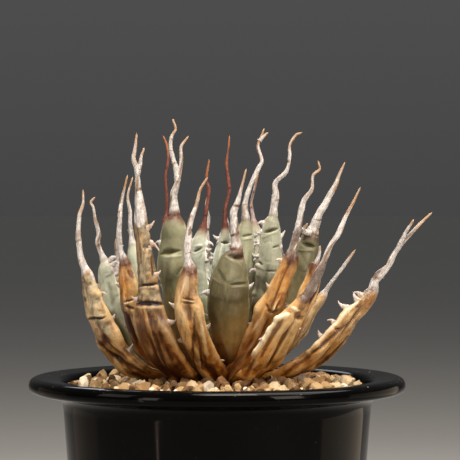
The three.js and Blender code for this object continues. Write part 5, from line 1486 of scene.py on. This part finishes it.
pumice = pumiceSkin()
bed = addObject("dressing_pumice", latheMesh("dressing_pumice", dressing))
stones = pumiceStones(dressing["stoneShapes"], dressing["seed"])
chips = bpy.data.collections.new("chipShapes")
chips.objects.link(flakeShape)
strewing = strewTree()
joined = bmesh.new()
joined.from_mesh(bed.data)
for size, shelf in (("large", stones), ("small", stones), ("chips", chips)):
    own = dressing[size]
    values = {"Stones": shelf, "Leaves": leafShelf, "Smallest": own["scale"][0], "Largest": own["scale"][1],
              "Share": own["share"], "Densest": dressing["densest"] / mm ** 2, "Seed": own["seed"],
              "Material": pumice}
    values.update({label: own[label.lower()] * mm for label in ("Gap", "Lift", "Clear")})
    grains = runTree(bed, strewing, values)
    joined.from_mesh(grains)
    print(size, len(grains.polygons), "faces")
    bpy.data.meshes.remove(grains)
joined.to_mesh(bed.data)
joined.free()
bed.data.materials.clear()
bed.data.materials.append(pumice)
for shelf in (stones, chips):
    for shape in list(shelf.objects):
        bpy.data.objects.remove(shape)
    bpy.data.collections.remove(shelf)
finishPiece(bed, "dressing")


# Floor, light and camera

studio = dict(floorRadius=300.0, floorSides=128, floorColour="#b9b8b6", floorCloud="#b2b1ae", skyLow=0.06,
              skyHigh=0.13, aim=(0.0041, 0, 0.1465), distance=0.648, elevation=0.41, seen=0.1468, sensor=36)
lamps = {  # place, place it looks at, size, watts, colour
    "top": ((0.05, -0.2, 0.82), (0, 0, 0.13), (0.3, 0.3), 10.0, "#fff6ea"),
    "right": ((0.46, -0.5, 0.36), (0, 0, 0.14), (0.22, 0.3), 3.4, "#fff2e2"),
    "left": ((-0.6, -0.3, 0.42), (0, 0, 0.14), (0.26, 0.3), 1.1, "#fff4e8"),
    "low": ((-0.44, -0.56, 0.2), (0, 0, 0.12), (0.12, 0.3), 1.1, "#fff4e8"),
    "back": ((-0.1, 0.36, 0.42), (0, 0, 0.15), (0.2, 0.16), 0.7, "#eef3ff"),
}
glints = {  # cards that only the pot shows
    "rightCard": ((0.309, 0.094, 0.05), (0, 0, 0.05), (0.33, 0.2), 0.26, "#ffe8cc"),
    "leftCard": ((-0.29, 0.112, 0.05), (0, 0, 0.05), (0.19, 0.2), 0.03, "#ffd2a8"),
    "lineCard": ((-0.172, -0.2, 0.05), (-0.018, -0.043, 0.05), (0.006, 0.2), 0.04, "#ffdcca"),
    "lipCard": ((0.17, -0.05, 0.5), (0.04, -0.06, 0.1), (0.36, 0.42), 6.5, "#f4f0ea"),
}


def floorSkin():
    material, tree, shader = newMaterial("studioFloor")
    cloud = noiseNode(tree, objectCoords(tree), 3.0, 4, 0.5)
    colour = blendColour(tree, cloud, studio["floorColour"], studio["floorCloud"])
    setInputs(tree, shader, {"Base Color": colour, "Roughness": 0.75})
    return material


def makeFloor():
    builder = bmesh.new()
    bmesh.ops.create_circle(builder, cap_ends=True, segments=studio["floorSides"],
                             radius=studio["floorRadius"])
    mesh = bpy.data.meshes.new("studio_floor")
    builder.to_mesh(mesh)
    builder.free()
    mesh.materials.append(floorSkin())
    addObject("studio_floor", mesh)


def makeLamp(name, place, target, size, watts, colour):
    light = bpy.data.lights.new(name, "AREA")
    light.shape = "RECTANGLE"
    light.size, light.size_y = size
    light.energy = watts
    light.color = tint(colour)[:3]
    lamp = addObject(name, light)
    lamp.location = place
    lamp.rotation_euler = (Vector(target) - Vector(place)).to_track_quat("-Z", "Y").to_euler()
    lamp.visible_camera = False
    return lamp


def makeSky():
    world = bpy.data.worlds.new("studioSky")
    world.use_nodes = True
    tree = world.node_tree
    height = upwards(tree, addNode(tree, "ShaderNodeTexCoord").outputs["Generated"])
    glow = addNode(tree, "ShaderNodeMapRange", {"Value": height, "From Max": 0.5,
                                                "To Min": studio["skyLow"], "To Max": studio["skyHigh"]})
    tree.links.new(glow.outputs[0], tree.nodes["Background"].inputs["Color"])
    bpy.context.scene.world = world


def makeCamera():
    tilt = math.radians(studio["elevation"])
    camera = bpy.data.cameras.new("camera")
    camera.lens = studio["sensor"] * studio["distance"] / studio["seen"]
    camera.sensor_width = studio["sensor"]
    camera.clip_start = 0.01
    view = addObject("camera", camera)
    back = Vector((0, -math.cos(tilt), math.sin(tilt))) * studio["distance"]
    view.location = Vector(studio["aim"]) + back
    view.rotation_euler = (math.pi / 2 - tilt, 0, 0)
    bpy.context.scene.camera = view


makeFloor()
for name, settings in lamps.items():
    makeLamp(name, *settings)
potOnly = bpy.data.collections.new("potOnly")
potOnly.objects.link(potPiece)
for name, settings in glints.items():
    makeLamp(name, *settings).light_linking.receiver_collection = potOnly
makeSky()
makeCamera()
bpy.context.scene.view_settings.view_transform = "Standard"
bpy.context.view_layer.update()
print("scene ready")
